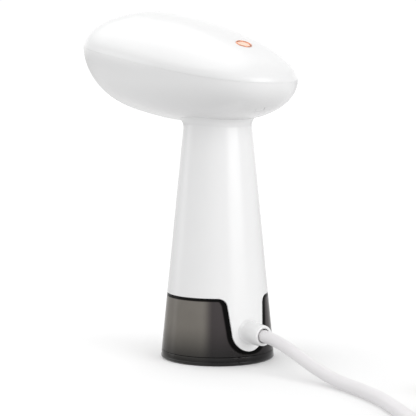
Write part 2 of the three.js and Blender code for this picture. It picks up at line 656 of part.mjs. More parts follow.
// The gland's outer part hugs the tongue, its shaft goes through the wall, and a collar holds it inside.
function cordGland() {
  const surface = coneRadius(GLAND_Z);
  const inside = boreRadius(GLAND_Z);
  const mouth = surface + GLAND_LENGTH;
  const ring = (profile) => solid(alongY(revolveRing(profile, 24)).translate(0, 0, GLAND_Z));
  const skin = solid(revolve([
    [0, 0], [FOOT_RADIUS + GAP, 0], [coneRadius(TANK_TOP) + GAP, TANK_TOP], [0, TANK_TOP],
  ], ROUND));
  const outer = ring([
    [CORD_BORE, surface - 3], [GLAND_BASE_RADIUS, surface - 3], [GLAND_BASE_RADIUS, surface + 2],
    [GLAND_MOUTH_RADIUS, mouth - 0.8], [GLAND_MOUTH_RADIUS - 0.8, mouth], [CORD_BORE, mouth],
  ]).subtract(skin);
  const shaft = ring([
    [CORD_BORE, inside - 1.6], [GLAND_SHAFT_RADIUS, inside - 1.6],
    [GLAND_SHAFT_RADIUS, surface + 3], [CORD_BORE, surface + 3],
  ]);
  const collar = ring([
    [CORD_BORE, inside - 3.8], [GLAND_SHAFT_RADIUS + 1.5, inside - 3.8],
    [GLAND_SHAFT_RADIUS + 1.5, inside - 1.6], [CORD_BORE, inside - 1.6],
  ]);
  return outer.add(shaft).add(collar);
}

function buildClamp() {
  const ring = tube(CLAMP_INNER, CLAMP_OUTER, CLAMP_FRONT, CLAMP_BACK, 24);
  let clamp = solid(alongY(ring));
  [-CLAMP_SCREW_X, CLAMP_SCREW_X].forEach((x, i) => {
    const hole = alongY(cylinder(SCREW_SHANK + GAP, CLAMP_FRONT - 1, CLAMP_BACK, 10)).translate(x, 0, 0);
    const sink = alongY(cylinder(2.2, CLAMP_BACK - 1.8, CLAMP_BACK + 1, 12)).translate(x, 0, 0);
    clamp = clamp.subtract(solid(hole)).subtract(solid(sink));
    const clampScrew = steel(`clamp_screw_${i + 1}`, screw(1.9, 1.2, SCREW_SHANK, 9));
    clampScrew.position.set(x, CLAMP_BACK - GAP, GLAND_Z);
    clampScrew.rotation.x = Math.PI / 2;
  });
  grey('cord_clamp', geometryOf(clamp)).position.z = GLAND_Z;
}

function buildHandle() {
  white('handle_shell', geometryOf(handleShell()));
  white('cord_gland', geometryOf(cordGland()));
  buildClamp();

  const floorTop = FLOOR_Z + FLOOR_THICKNESS;
  const tongueBack = TONGUE_FRONT - GAP;
  const tongueSide = box(-FOOT_RADIUS, FOOT_RADIUS, tongueBack, FOOT_RADIUS, FLOOR_Z - 1, floorTop + 1);
  const floor = solid(cylinder(boreRadius(floorTop) - GAP, FLOOR_Z, floorTop, ROUND))
    .subtract(solid(tongueSide))
    .subtract(solid(cylinder(3 + GAP, FLOOR_Z - 1, floorTop + 1).translate(0, NOZZLE_Y, 0)));
  grey('handle_floor', geometryOf(floor));

  const leadTop = TONGUE_TOP + WALL;
  add('supply_lead', rodAlong([
    vec3(0, 24.4, GLAND_Z), vec3(0, 23, GLAND_Z), vec3(0, 21.7, GLAND_Z + 2),
    vec3(0, 21.6, GLAND_Z + 10), vec3(0, 22, GLAND_Z + 25), vec3(0, 22, leadTop - GAP),
  ], 1.5, 6, 18), 0x6f5a4b, 0.6, 0);
  add('terminal_block', box(-8, 8, 18, 26, leadTop, leadTop + 9), 0xe8e6df, 0.5, 0);
  add('wiring_harness', rodAlong([
    vec3(0, 21.5, leadTop + 9 + GAP), vec3(0, 21.5, 75), vec3(3, 21.5, 86), vec3(5, 20.6, 104),
    vec3(5, 19.6, 122),
    vec3(4, 16, 140), vec3(3, 13, 156), vec3(3, 12.5, 168), vec3(2, 13.5, 180), vec3(0, 15, 190),
    vec3(0, 15.6, 197),
  ], 2, 6, 20), 0x26282b, 0.6, 0);
}

// ---------------------------------------------------------------- water path

function buildWaterPath() {
  const floorTop = FLOOR_Z + FLOOR_THICKNESS;
  const nozzle = revolveRing([
    [1.1, COLLAR_TOP - 2.5], [3, COLLAR_TOP - 2.5], [3, floorTop + GAP], [6, floorTop + GAP],
    [6, floorTop + 2], [BARB_RADIUS, floorTop + 2], [BARB_RADIUS, floorTop + 2 + BARB_LENGTH],
    [1.1, floorTop + 2 + BARB_LENGTH],
  ], 14);
  grey('water_nozzle', nozzle).position.y = NOZZLE_Y;
  const seal = revolveRing([
    [3.3, -0.3], [3.6, -0.6], [4, -0.6], [4.3, -0.3], [4.3, 0.3], [4, 0.6], [3.6, 0.6], [3.3, 0.3],
  ], 20);
  add('nozzle_seal', seal, 0x2a2a2a, 0.7, 0).position.set(0, NOZZLE_Y, COLLAR_TOP - 1);

  const pumpTop = PUMP_BOTTOM + PUMP_LENGTH;
  const pump = revolveRing([
    [0.9, PUMP_BOTTOM - BARB_LENGTH], [BARB_RADIUS, PUMP_BOTTOM - BARB_LENGTH],
    [BARB_RADIUS, PUMP_BOTTOM], [PUMP_RADIUS, PUMP_BOTTOM], [PUMP_RADIUS, pumpTop],
    [BARB_RADIUS, pumpTop], [BARB_RADIUS, pumpTop + BARB_LENGTH], [0.9, pumpTop + BARB_LENGTH],
  ], FINE);
  brass('water_pump', pump);

  const coilTop = COIL_BOTTOM + COIL_HEIGHT;
  const bore = cylinder(PUMP_RADIUS + GAP, PUMP_BOTTOM, pumpTop, FINE);
  const [halfWidth, halfDepth] = [COIL_WIDTH / 2, COIL_DEPTH / 2];
  const coil = solid(box(-halfWidth, halfWidth, -halfDepth, halfDepth, COIL_BOTTOM, coilTop))
    .subtract(solid(bore.clone()));
  add('pump_coil', geometryOf(coil), 0x23302f, 0.5, 0);
  const grip = YOKE_THICKNESS + GAP;
  const yokeHalf = halfWidth - 4;
  const yokeBack = halfDepth + grip;
  const yokeBlock = box(-yokeHalf, yokeHalf, -halfDepth, yokeBack, COIL_BOTTOM - grip, coilTop + grip);
  const yoke = solid(yokeBlock)
    .subtract(solid(box(-yokeHalf - 1, yokeHalf + 1, -halfDepth - 1, halfDepth + GAP,
      COIL_BOTTOM - GAP, coilTop + GAP)))
    .subtract(solid(bore));
  steel('pump_yoke', geometryOf(yoke));

  // Two rubber rings carry the pump in the shelves of its cradle.
  const mounts = { lower: PUMP_BOTTOM + 1.6, upper: pumpTop - 1.6 - MOUNT_HEIGHT };
  const cradleTop = mounts.upper + MOUNT_HEIGHT;
  const cradleHalf = CRADLE_WIDTH / 2;
  let cradle = solid(box(-cradleHalf, cradleHalf, CRADLE_BACK, CRADLE_BACK + CRADLE_THICKNESS,
    floorTop + GAP, cradleTop))
    .add(solid(box(-cradleHalf, cradleHalf, 3, CRADLE_BACK + 1, floorTop + GAP, floorTop + GAP + 2)));
  for (const [place, z] of Object.entries(mounts)) {
    const ring = tube(PUMP_RADIUS + GAP, MOUNT_RADIUS, z, z + MOUNT_HEIGHT, 20);
    add(`pump_mount_${place}`, ring, 0x2a2a2a, 0.8, 0);
    const shelfBottom = z + (MOUNT_HEIGHT - SHELF_THICKNESS) / 2;
    const shelf = box(-13.5, 13.5, -13.5, CRADLE_BACK + 1, shelfBottom, shelfBottom + SHELF_THICKNESS);
    cradle = cradle.add(solid(shelf)).subtract(solid(cylinder(MOUNT_RADIUS + GAP, z, z + MOUNT_HEIGHT, 20)));
  }
  grey('pump_cradle', geometryOf(cradle));

  const hoseBore = BARB_RADIUS + 2 * GAP;
  const nozzleTop = floorTop + 2 + GAP;
  silicone('intake_hose', rodAlong([
    vec3(0, NOZZLE_Y, nozzleTop), vec3(0, NOZZLE_Y, nozzleTop + 3), vec3(0, NOZZLE_Y, nozzleTop + 5),
    vec3(0, NOZZLE_Y / 2, nozzleTop + 11), vec3(0, 0, PUMP_BOTTOM - 5.5), vec3(0, 0, PUMP_BOTTOM - 3),
    vec3(0, 0, PUMP_BOTTOM - GAP),
  ], HOSE_RADIUS, 6, 18, hoseBore));
  const inlet = (depth) => vec3(0, BLOCK_BACK + depth, INLET_Z).applyMatrix4(plateSeat.matrixWorld);
  silicone('feed_hose', rodAlong([
    vec3(0, 0, pumpTop + GAP), vec3(0, 0, pumpTop + 8), vec3(0, 0, 145), vec3(0, 0, 160),
    vec3(0, -3, 174), vec3(0, -12, 187), vec3(0, -26, 196.5), vec3(0, -42, 200.5),
    inlet(16), inlet(9), inlet(2 + GAP),
  ], HOSE_RADIUS, 6, 24, hoseBore));
}

// ---------------------------------------------------------------- steam trigger

function buildTrigger() {
  const face = -coneRadius(TRIGGER_Z) - TRIGGER_PROUD;
  const flangeBack = TRIGGER_FLANGE_Y + TRIGGER_FLANGE_THICKNESS;
  const stemEnd = CARRIER_Y - TRIGGER_TRAVEL - GAP;
  const cap = slabY(roundedBox(TRIGGER_WIDTH, TRIGGER_HEIGHT, TRIGGER_WIDTH / 2 - GAP), face,
    TRIGGER_FLANGE_Y + 0.5, 5);
  const flange = slabY(roundedBox(TRIGGER_WIDTH + 3, TRIGGER_HEIGHT + 3, TRIGGER_WIDTH / 2),
    TRIGGER_FLANGE_Y, flangeBack, 5);
  const stem = alongY(cylinder(1.8, flangeBack - 0.5, stemEnd, 12));
  const trigger = solid(cap).add(solid(flange)).add(solid(stem));
  grey('steam_trigger', geometryOf(trigger)).position.z = TRIGGER_Z;

  const turns = 4;
  const wire = 0.4;
  const coils = [];
  const springLength = CARRIER_Y - flangeBack - 2 * (wire + GAP);
  for (let i = 0; i <= turns * 8; i += 1) {
    const angle = (i / 8) * 2 * Math.PI;
    const y = flangeBack + wire + GAP + (springLength * i) / (turns * 8);
    coils.push(vec3(3 * Math.cos(angle), y, 3 * Math.sin(angle)));
  }
  steel('trigger_spring', rodAlong(coils, wire, 4, turns * 12)).position.z = TRIGGER_Z;

  const carrierTop = TRIGGER_Z + TRIGGER_HEIGHT / 2;
  const carrierBottom = TRIGGER_Z - TRIGGER_HEIGHT / 2;
  const carrierHalf = Math.sqrt(boreRadius(carrierTop) ** 2 - CARRIER_Y ** 2) - GAP;
  grey('trigger_carrier', box(-carrierHalf, carrierHalf, CARRIER_Y, CARRIER_Y + CARRIER_THICKNESS,
    carrierBottom, carrierTop));
  const plungerTip = flangeBack + TRIGGER_TRAVEL + GAP;
  const microSwitch = solid(box(-3, 3, plungerTip + 1, CARRIER_Y - GAP, carrierBottom, carrierBottom + 6))
    .add(solid(alongY(cylinder(0.8, plungerTip, CARRIER_Y - 1, 8)).translate(0, 0, carrierBottom + 3)));
  add('trigger_switch', geometryOf(microSwitch), 0x2b2b2b, 0.5, 0);
}

// ---------------------------------------------------------------- tank

function tankBody() {
  const bottom = BASE_HEIGHT + GAP;
  const shoulder = TANK_TOP - WALL;
  const outer = solid(revolve([
    [0, bottom], [coneRadius(bottom), bottom], [coneRadius(TANK_TOP), TANK_TOP],
    [COLLAR_RADIUS, TANK_TOP], [COLLAR_RADIUS, COLLAR_TOP], [0, COLLAR_TOP],
  ], ROUND));
  const notch = solid(slabY(tongueOutline(GAP), TONGUE_FRONT - GAP, FOOT_RADIUS + 1));
  const notchWall = solid(slabY(tongueOutline(GAP + WALL), TONGUE_FRONT - GAP - WALL, FOOT_RADIUS + 1));
  const water = solid(revolve([
    [0, 0], [boreRadius(0), 0], [boreRadius(shoulder), shoulder], [COLLAR_RADIUS - WALL, shoulder],
    [COLLAR_RADIUS - WALL, COLLAR_TOP - DECK_THICKNESS], [0, COLLAR_TOP - DECK_THICKNESS],
  ], ROUND)).subtract(notchWall);
  const valveHole = cylinder(VALVE_RADIUS + GAP, shoulder, COLLAR_TOP + 1, 20).translate(0, NOZZLE_Y, 0);
  const fillerHole = cylinder(FILLER_RADIUS + GAP, shoulder, COLLAR_TOP + 1, 20)
    .translate(FILLER_X, FILLER_Y, 0);
  return outer.subtract(notch).subtract(water).subtract(solid(valveHole)).subtract(solid(fillerHole));
}

function tankBase() {
  const inner = boreRadius(BASE_SPIGOT_TOP) - GAP;
  const base = solid(revolve([
    [0, 0], [34.8, 0], [36.6, 0.8], [37.5, 2.4], [coneRadius(BASE_HEIGHT), BASE_HEIGHT],
    [inner, BASE_HEIGHT], [inner, BASE_SPIGOT_TOP], [inner - WALL, BASE_SPIGOT_TOP],
    [inner - WALL, BASE_FLOOR], [0, BASE_FLOOR],
  ], ROUND));
  const clearance = 2 * GAP + WALL;
  const notch = slabY(tongueOutline(clearance), TONGUE_FRONT - clearance, FOOT_RADIUS + 1);
  return base.subtract(solid(notch));
}

function buildTank() {
  smoke('tank_body', geometryOf(tankBody()));
  smoke('tank_base', geometryOf(tankBase()));
  const seat = COLLAR_TOP + GAP;
  const socketFloor = COLLAR_TOP - 3.5;
  const valve = revolveRing([
    [1.1, socketFloor - 5.5], [BARB_RADIUS, socketFloor - 5.5], [BARB_RADIUS, socketFloor - 1.5],
    [VALVE_RADIUS, socketFloor - 1.5], [VALVE_RADIUS, seat], [VALVE_FLANGE, seat],
    [VALVE_FLANGE, seat + 1.5], [4.6, seat + 1.5], [4.6, socketFloor], [1.1, socketFloor],
  ], 18);
  grey('tank_valve', valve).position.y = NOZZLE_Y;
  const straw = tube(BARB_RADIUS + GAP, 3.4, FILTER_TOP + GAP, socketFloor - 1.5 - GAP, 12);
  silicone('suction_straw', straw).position.y = NOZZLE_Y;
  const filter = revolve([
    [0, BASE_FLOOR + GAP], [FILTER_RADIUS - 1, BASE_FLOOR + GAP], [FILTER_RADIUS, BASE_FLOOR + 1.3],
    [FILTER_RADIUS, FILTER_TOP - 2], [3.6, FILTER_TOP], [0, FILTER_TOP],
  ], 16);
  add('intake_filter', filter, 0xcfcfca, 0.6, 0).position.y = NOZZLE_Y;
  const plug = solid(revolve([
    [0, seat - 4.5], [FILLER_RADIUS - 0.8, seat - 4.5], [FILLER_RADIUS, seat - 3.5],
    [FILLER_RADIUS, seat], [FILLER_CAP_RADIUS, seat], [FILLER_CAP_RADIUS, seat + 1.2], [0, seat + 1.2],
  ], 20)).add(solid(box(-6, 6, -0.8, 0.8, seat + 0.5, seat + 2)));
  silicone('filler_plug', geometryOf(plug)).position.set(FILLER_X, FILLER_Y, 0);
}

// ---------------------------------------------------------------- cord

function cordAlong(points, steps) {
  return rodAlong(points.map(([x, y, z]) => vec3(x, y, z)), CORD_RADIUS, 10, steps);
}

function buildCord() {
  const cord = (name, geometry) => add(name, geometry, 0xf0f0ef, 0.5, 0);
  cord('power_cord', cordAlong(CORD_POINTS, 20));
  cord('cord_tail', cordAlong(TAIL_POINTS, 4));

  const top = COIL_BASE + COIL_LAYERS;
  const round = CORD_RADIUS * 0.7;
  const coil = revolveRing([
    [COIL_INNER + round, COIL_BASE], [COIL_OUTER - round, COIL_BASE], [COIL_OUTER, COIL_BASE + round],
    [COIL_OUTER, top - round], [COIL_OUTER - round, top], [COIL_INNER + round, top],
    [COIL_INNER, top - round], [COIL_INNER, COIL_BASE + round],
  ], 32);
  cord('cord_coil', coil).position.set(COIL_X, COIL_Y, 0);

  // The tie is a band round the coil's section, at its far side.
  const width = COIL_OUTER - COIL_INNER + 3 * GAP;
  const height = COIL_LAYERS + 2 * GAP;
  const band = roundedBox(width + 2 * TIE_THICKNESS, height + 2 * TIE_THICKNESS, 2.5);
  band.holes.push(roundedBox(width, height, 1.5));
  const tie = new THREE.ExtrudeGeometry(band, { depth: TIE_WIDTH, bevelEnabled: false, curveSegments: 4 });
  tie.rotateX(Math.PI / 2).rotateZ(Math.PI / 2).translate(-TIE_WIDTH / 2, 0, 0);
  add('cord_tie', tie, 0x2c2c2c, 0.7, 0).position.set(
    COIL_X, COIL_Y + (COIL_INNER + COIL_OUTER) / 2 - GAP / 2, COIL_BASE + COIL_LAYERS / 2);

  const bootEnd = BOOT_START - BOOT_LENGTH;
  const boot = revolve([
    [0, 0], [8.2, 0], [8.2, 2], [5.2, BOOT_LENGTH - 1], [4.6, BOOT_LENGTH], [0, BOOT_LENGTH],
  ]);
  cord('plug_boot', alongY(boot)).position.set(PLUG_X, bootEnd, PLUG_Z);
  const plugBack = bootEnd - GAP;
  const plugFront = plugBack - PLUG_LENGTH;
  const plugOutline = roundedBox(PLUG_WIDTH, PLUG_THICKNESS, PLUG_THICKNESS / 2 - 0.5);
  const body = slabY(plugOutline, plugFront, plugBack, 6);
  cord('plug_body', body).position.set(PLUG_X, 0, PLUG_Z);
  [-1, 1].forEach((side, i) => {
    const pin = revolve([
      [0, 0], [PIN_RADIUS, 0], [PIN_RADIUS, PIN_LENGTH - 1], [1.5, PIN_LENGTH], [0, PIN_LENGTH],
    ], 12);
    const mesh = brass(`plug_pin_${i + 1}`, pin);
    mesh.position.set(PLUG_X + (side * PIN_SPACING) / 2, plugFront - GAP, PLUG_Z);
    mesh.rotation.x = Math.PI / 2;
  });
}

buildHead();
buildButton();
buildBoard();
buildHeater();
buildHandle();
buildWaterPath();
buildTrigger();
buildTank();
buildCord();

export default steamer;
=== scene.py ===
"""Looks of the handheld garment steamer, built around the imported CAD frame.

Lengths in this file are millimetres in the row frame unless a name says otherwise; M turns them to metres.
"""

import json
import math

import bmesh
import bpy
import numpy as np
from mathutils import Matrix, Vector


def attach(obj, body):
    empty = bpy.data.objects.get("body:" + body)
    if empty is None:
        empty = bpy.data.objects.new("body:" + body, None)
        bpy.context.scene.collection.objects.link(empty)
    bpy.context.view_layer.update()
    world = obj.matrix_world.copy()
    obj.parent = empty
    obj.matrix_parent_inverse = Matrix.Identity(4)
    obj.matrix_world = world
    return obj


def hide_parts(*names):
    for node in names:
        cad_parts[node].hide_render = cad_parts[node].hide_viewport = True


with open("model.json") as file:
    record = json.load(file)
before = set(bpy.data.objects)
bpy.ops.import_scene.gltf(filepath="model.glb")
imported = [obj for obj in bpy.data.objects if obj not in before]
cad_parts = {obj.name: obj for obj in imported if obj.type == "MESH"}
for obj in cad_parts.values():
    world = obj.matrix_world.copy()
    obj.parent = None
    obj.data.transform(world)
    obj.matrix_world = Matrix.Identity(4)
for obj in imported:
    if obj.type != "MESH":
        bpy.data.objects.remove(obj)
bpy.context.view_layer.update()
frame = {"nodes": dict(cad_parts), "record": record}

M = 0.001

# ---------- sizes shared with the CAD model

GAP = 0.3
WALL = 2.2
FOOT_RADIUS, TAPER = 38.8, 0.0995
TANK_TOP, BASE_HEIGHT = 44.2, 5.8
COLLAR_RADIUS, COLLAR_TOP = 30.2, 49.0
SPIGOT_RADIUS, SPIGOT_TOP = 20.3, 173.0
NECK_FLARE, NECK_FLARE_HEIGHT, NECK_GAP = 2.5, 6.4, 0.05   # how the handle's top widens to meet the head
NECK_FLARE_ROWS, NECK_FLARE_POWER = 13, 2.3
HANDLE_EDGE, TANK_EDGE = 0.5, 0.45   # rounding of the two edges that face each other
RIM_SHADE_BAND, SIDE_SHADE_BAND = 1.9, 4.2       # width of the painted shade along the tank's top edge and down its sides, by the handle

GLAND_Z = 21.4
TONGUE_RADIUS, TONGUE_TOP_HALF, TONGUE_FILLET, TONGUE_FRONT = 12.5, 14.3, 5.4, 17.0

HEAD_CENTRE = np.array([0.0, -63.4, 206.1])
HEAD_TILT = math.radians(8.8)
HEAD_FRONT, HEAD_BACK, HEAD_HALF_WIDTH, HEAD_CROWN, HEAD_BELLY = 68.3, 127.4, 51.1, 30.9, 41.75
FRONT_POWER, BACK_POWER, CROWN_POWER, BELLY_POWER = 2.35, 2.6, 1.83, 2.12
HEAD_WALL = 2.4
SEAM_GAP = 0.06   # between the two halves of the head

PLATE_CENTRE, PLATE_LEAN = (0, -97.6, 199), math.radians(27.7)
BUTTON_CENTRE, BUTTON_LEAN = (0, 29.6, 212.2), math.radians(23.5)
SCREW_Y, PLUG_RADIUS = 47.0, 3.2

TRIGGER_Z, TRIGGER_WIDTH, TRIGGER_HEIGHT = 140.0, 12.0, 24.0

CORD_RADIUS = 4.1
CORD_POINTS = [
    (0, 24.8, 21.4), (0, 40, 21.4), (0, 53, 21.2), (0, 64, 20.1), (0, 74, 18), (0, 84, 15.3),
    (0.2, 94, 12.4), (0.6, 104, 9.7), (1.2, 115, 7.3), (2, 127, 5.3), (3.4, 142, 4.4),
    (6.4, 160, 4.3), (12.5, 182, 4.3), (21.5, 204, 4.3), (32, 226, 4.5), (40.5, 243, 5),
    (43.4, 249.8, 5.2), (45.6, 257, 5.4), (46.9, 265, 5.6), (47.3, 272, 5.7), (47.3, 279, 5.7),
]
COIL_CENTRE = (0.0, 287.0)
COIL_TURNS = [  # middle radius and height of each turn of the coil, the last one a part of a turn
    (47.3, 5.7), (39.0, 5.7), (39.0, 14.0), (39.0, 22.3), (47.3, 22.3), (47.3, 14.0),
]
# degrees over which a turn moves to the next one's place, and how much sooner each does it than the last
TURN_CHANGE, CHANGE_END, CHANGE_LEAD = 100.0, 360.0, 30.0
TAIL_START, TAIL_END = 95.0, 203.0   # degrees of the last turn over which the cord comes down
TAIL_RADIUS, TAIL_Z = 55.8, 8.7
TAIL_POINTS = [(-49.5, 259.5, 8.7), (-48.4, 254.4, 8.7), (-48, 248.4, 8.7), (-48, 241.2, 8.7)]
PLUG_X, PLUG_Z, BOOT_START, BOOT_LENGTH = -48.0, 8.7, 241.6, 22.0
PLUG_LENGTH, PLUG_WIDTH, PLUG_THICKNESS = 34.0, 34.0, 17.0

plate_seat = Matrix.Translation(PLATE_CENTRE) @ Matrix.Rotation(PLATE_LEAN, 4, "X")
button_seat = Matrix.Translation(BUTTON_CENTRE) @ Matrix.Rotation(-BUTTON_LEAN, 4, "X")
gland_seat = Matrix.Translation((0, 0, GLAND_Z)) @ Matrix.Rotation(-math.pi / 2, 4, "X")

# ---------- camera

CAMERA_AZIMUTH, CAMERA_PITCH = math.radians(35), math.radians(5.08)
CAMERA_DISTANCE, CAMERA_HEIGHT, CAMERA_SHIFT = 1000.0, 190.7, -6.55
SENSOR_WIDTH, LENS_LENGTH = 36.0, 127.8173
CLIP_START, CLIP_END = 0.05, 50   # metres


def make_camera():
    """The camera behind the steamer and to one side, a long lens that looks slightly down."""
    data = bpy.data.cameras.new("camera")
    data.sensor_width = SENSOR_WIDTH
    data.lens = LENS_LENGTH
    camera = bpy.data.objects.new("camera", data)
    bpy.context.scene.collection.objects.link(camera)
    out = Vector((math.sin(CAMERA_AZIMUTH), math.cos(CAMERA_AZIMUTH), 0))
    right = Vector((-out.y, out.x, 0))
    camera.location = (out * CAMERA_DISTANCE + right * CAMERA_SHIFT + Vector((0, 0, CAMERA_HEIGHT))) * M
    look = -out * math.cos(CAMERA_PITCH) - Vector((0, 0, math.sin(CAMERA_PITCH)))
    camera.rotation_euler = look.to_track_quat("-Z", "Y").to_euler()
    data.clip_start, data.clip_end = CLIP_START, CLIP_END
    bpy.context.scene.camera = camera


# ---------- mesh helpers

HALVINGS = 44

def smooth(t):
    t = np.clip(t, 0, 1)
    return t * t * (3 - 2 * t)


def cone_radius(z):
    return FOOT_RADIUS - TAPER * np.asarray(z, float)


def bore_radius(z):
    return cone_radius(z) - WALL


def arc(centre_r, centre_z, radius, start, end, count=6):
    """Points of an arc in a lathe's profile, angles in degrees from the radial direction."""
    angles = np.radians(np.linspace(start, end, count + 1))
    return [(centre_r + radius * math.cos(a), centre_z + radius * math.sin(a)) for a in angles]


def make_object(name, points, faces, seat=None):
    """A mesh object from points in millimetres, in the row frame or in a seat's frame."""
    mesh = bpy.data.meshes.new(name)
    mesh.from_pydata([tuple(p) for p in np.asarray(points, float)], [], faces)
    mesh.transform(Matrix.Scale(M, 4) @ (seat or Matrix()))
    obj = bpy.data.objects.new(name, mesh)
    bpy.context.scene.collection.objects.link(obj)
    return obj


def clean(obj, distance=1e-6):
    """Merges coincident points, drops empty faces and turns the faces outwards."""
    mesh = bmesh.new()
    mesh.from_mesh(obj.data)
    bmesh.ops.remove_doubles(mesh, verts=mesh.verts, dist=distance)
    bmesh.ops.dissolve_degenerate(mesh, edges=mesh.edges, dist=distance / 2)
    bmesh.ops.recalc_face_normals(mesh, faces=mesh.faces)
    mesh.to_mesh(obj.data)
    mesh.free()
    return obj


def apply(obj, kind, **settings):
    """Adds a modifier and bakes it into the mesh."""
    modifier = obj.modifiers.new(kind, kind)
    for key, value in settings.items():
        setattr(modifier, key, value)
    evaluated = obj.evaluated_get(bpy.context.evaluated_depsgraph_get())
    mesh = bpy.data.meshes.new_from_object(evaluated)
    obj.modifiers.clear()
    obj.data = mesh
    return obj


def cut(obj, *cutters):
    """Takes closed meshes out of obj."""
    for cutter in cutters:
        apply(obj, "BOOLEAN", operation="DIFFERENCE", solver="EXACT", object=cutter)
        bpy.data.objects.remove(cutter)
    return obj


def bevel(obj, width, segments=3, angle=40):
    return apply(obj, "BEVEL", width=width * M, segments=segments, limit_method="ANGLE",
                 angle_limit=math.radians(angle), use_clamp_overlap=True)


def pull(items, name, width=1, kind=np.float32):
    """A property of every item of a mesh, as rows of width numbers."""
    values = np.empty(len(items) * width, kind)
    items.foreach_get(name, values)
    return values.reshape(-1, width) if width > 1 else values


def shade(obj, angle=35, surface=None):
    """Smooth shading with sharp edges, and a surface's own exact normals where obj lies on it."""
    mesh = obj.data
    mesh.shade_smooth()
    mesh.set_sharp_from_angle(angle=math.radians(angle))
    if surface is None:
        return obj
    corner = pull(mesh.corner_normals, "vector", 3)
    vertex = pull(mesh.loops, "vertex_index", 1, np.int32)
    distance, normal = surface(pull(mesh.vertices, "co", 3).astype(float) / M)
    totals = pull(mesh.polygons, "loop_total", 1, np.int32)
    face = np.repeat(pull(mesh.polygons, "normal", 3), totals, axis=0)
    exact = normal[vertex]
    use = (np.abs(distance[vertex]) < 0.03) & ((exact * face).sum(1) > 0.93)
    corner[use] = exact[use]
    mesh.normals_split_custom_set([tuple(n) for n in corner])
    return obj


def lathe(name, profile, seat=None, sides=64, angle=35):
    """A closed solid of revolution about the seat's z from (radius, height) pairs."""
    points, faces, rings = [], [], []
    for radius, height in profile:
        if radius < 1e-6:
            rings.append([len(points)] * sides)
            points.append((0, 0, height))
            continue
        rings.append([len(points) + k for k in range(sides)])
        for k in range(sides):
            a = 2 * math.pi * k / sides
            points.append((radius * math.cos(a), radius * math.sin(a), height))
    closed = profile[0] != profile[-1] and profile[0][0] > 1e-6
    pairs = list(zip(rings, rings[1:])) + ([(rings[-1], rings[0])] if closed else [])
    for low, high in pairs:
        for k in range(sides):
            corners = [low[k], low[(k + 1) % sides], high[(k + 1) % sides], high[k]]
            corners = list(dict.fromkeys(corners))
            if len(corners) > 2:
                faces.append(corners)
    return shade(clean(make_object(name, points, faces, seat)), angle)


def band_faces(low, high, count):
    """Faces between two rings of count points, whose first points are low and high."""
    return [(low + k, low + (k + 1) % count, high + (k + 1) % count, high + k) for k in range(count)]


def loft(name, rings, seat=None, caps=True, closed=False, angle=35, shaded=True):
    """A skin over rings of equally many points. caps fills the first and last ring with a fan."""
    rings = [np.asarray(r, float) for r in rings]
    count = len(rings[0])
    points = np.concatenate(rings)
    faces = []
    pairs = [(i, i + 1) for i in range(len(rings) - 1)] + ([(len(rings) - 1, 0)] if closed else [])
    for a, b in pairs:
        faces += band_faces(a * count, b * count, count)
    if caps and not closed:
        points = np.concatenate([points, [rings[0].mean(0)], [rings[-1].mean(0)]])
        first, last = len(points) - 2, len(points) - 1
        base = (len(rings) - 1) * count
        for k in range(count):
            n = (k + 1) % count
            faces.append((first, n, k))
            faces.append((last, base + k, base + n))
    obj = clean(make_object(name, points, faces, seat))
    return shade(obj, angle) if shaded else obj


def stadium(half_width, half_height, power=2.0, count=96):
    """A rounded outline: an ellipse at power 2, nearer to a box above it."""
    a = np.linspace(0, 2 * math.pi, count, endpoint=False)
    c, s = np.cos(a), np.sin(a)
    return np.stack([
        half_width * np.sign(c) * np.abs(c) ** (2 / power),
        half_height * np.sign(s) * np.abs(s) ** (2 / power),
    ], axis=1)


def section(outline, y, x=0.0, z=0.0):
    """An outline in x and z as a ring of points at y, moved by x and z."""
    return np.stack([outline[:, 0] + x, np.full(len(outline), y), outline[:, 1] + z], axis=1)


def halve(holds, low, high):
    """Where holds turns from true at low to false at high, for every entry at once."""
    for _ in range(HALVINGS):
        middle = (low + high) / 2
        here = holds(middle)
        low, high = np.where(here, middle, low), np.where(here, high, middle)
    return low


# ---------- the head's egg

def to_egg(points):
    """Row frame to the egg's own frame, whose xy plane is the seam."""
    p = np.asarray(points, float) - HEAD_CENTRE
    c, s = math.cos(HEAD_TILT), math.sin(HEAD_TILT)
    return np.stack([p[..., 0], c * p[..., 1] - s * p[..., 2], s * p[..., 1] + c * p[..., 2]], axis=-1)


def from_egg(points):
    p = np.asarray(points, float)
    c, s = math.cos(HEAD_TILT), math.sin(HEAD_TILT)
    return np.stack([p[..., 0], c * p[..., 1] + s * p[..., 2], -s * p[..., 1] + c * p[..., 2]], axis=-1) \
        + HEAD_CENTRE


def egg(points, inset=0.0):
    """Signed distance, near the surface, and outward normal of the egg shrunk by inset."""
    p = to_egg(points)
    length = np.where(p[..., 1] > 0, HEAD_BACK, HEAD_FRONT) - inset
    height = np.where(p[..., 2] > 0, HEAD_CROWN, HEAD_BELLY) - inset
    width = HEAD_HALF_WIDTH - inset
    plan = np.where(p[..., 1] > 0, BACK_POWER, FRONT_POWER)
    side = np.where(p[..., 2] > 0, CROWN_POWER, BELLY_POWER)
    x = np.maximum(np.abs(p[..., 0]) / width, 1e-9)
    y = np.maximum(np.abs(p[..., 1]) / length, 1e-9)
    z = np.maximum(np.abs(p[..., 2]) / height, 1e-9)
    flat = np.maximum((x ** plan + y ** plan) ** (1 / plan), 1e-9)
    value = flat ** side + z ** side - 1
    common = side * flat ** (side - plan)
    gradient = np.stack([
        common * x ** (plan - 1) / width * np.sign(p[..., 0]),
        common * y ** (plan - 1) / length * np.sign(p[..., 1]),
        side * z ** (side - 1) / height * np.sign(p[..., 2]),
    ], axis=-1)
    size = np.maximum(np.linalg.norm(gradient, axis=-1), 1e-9)
    normal = gradient / size[..., None]
    return value / size, from_egg(normal) - HEAD_CENTRE


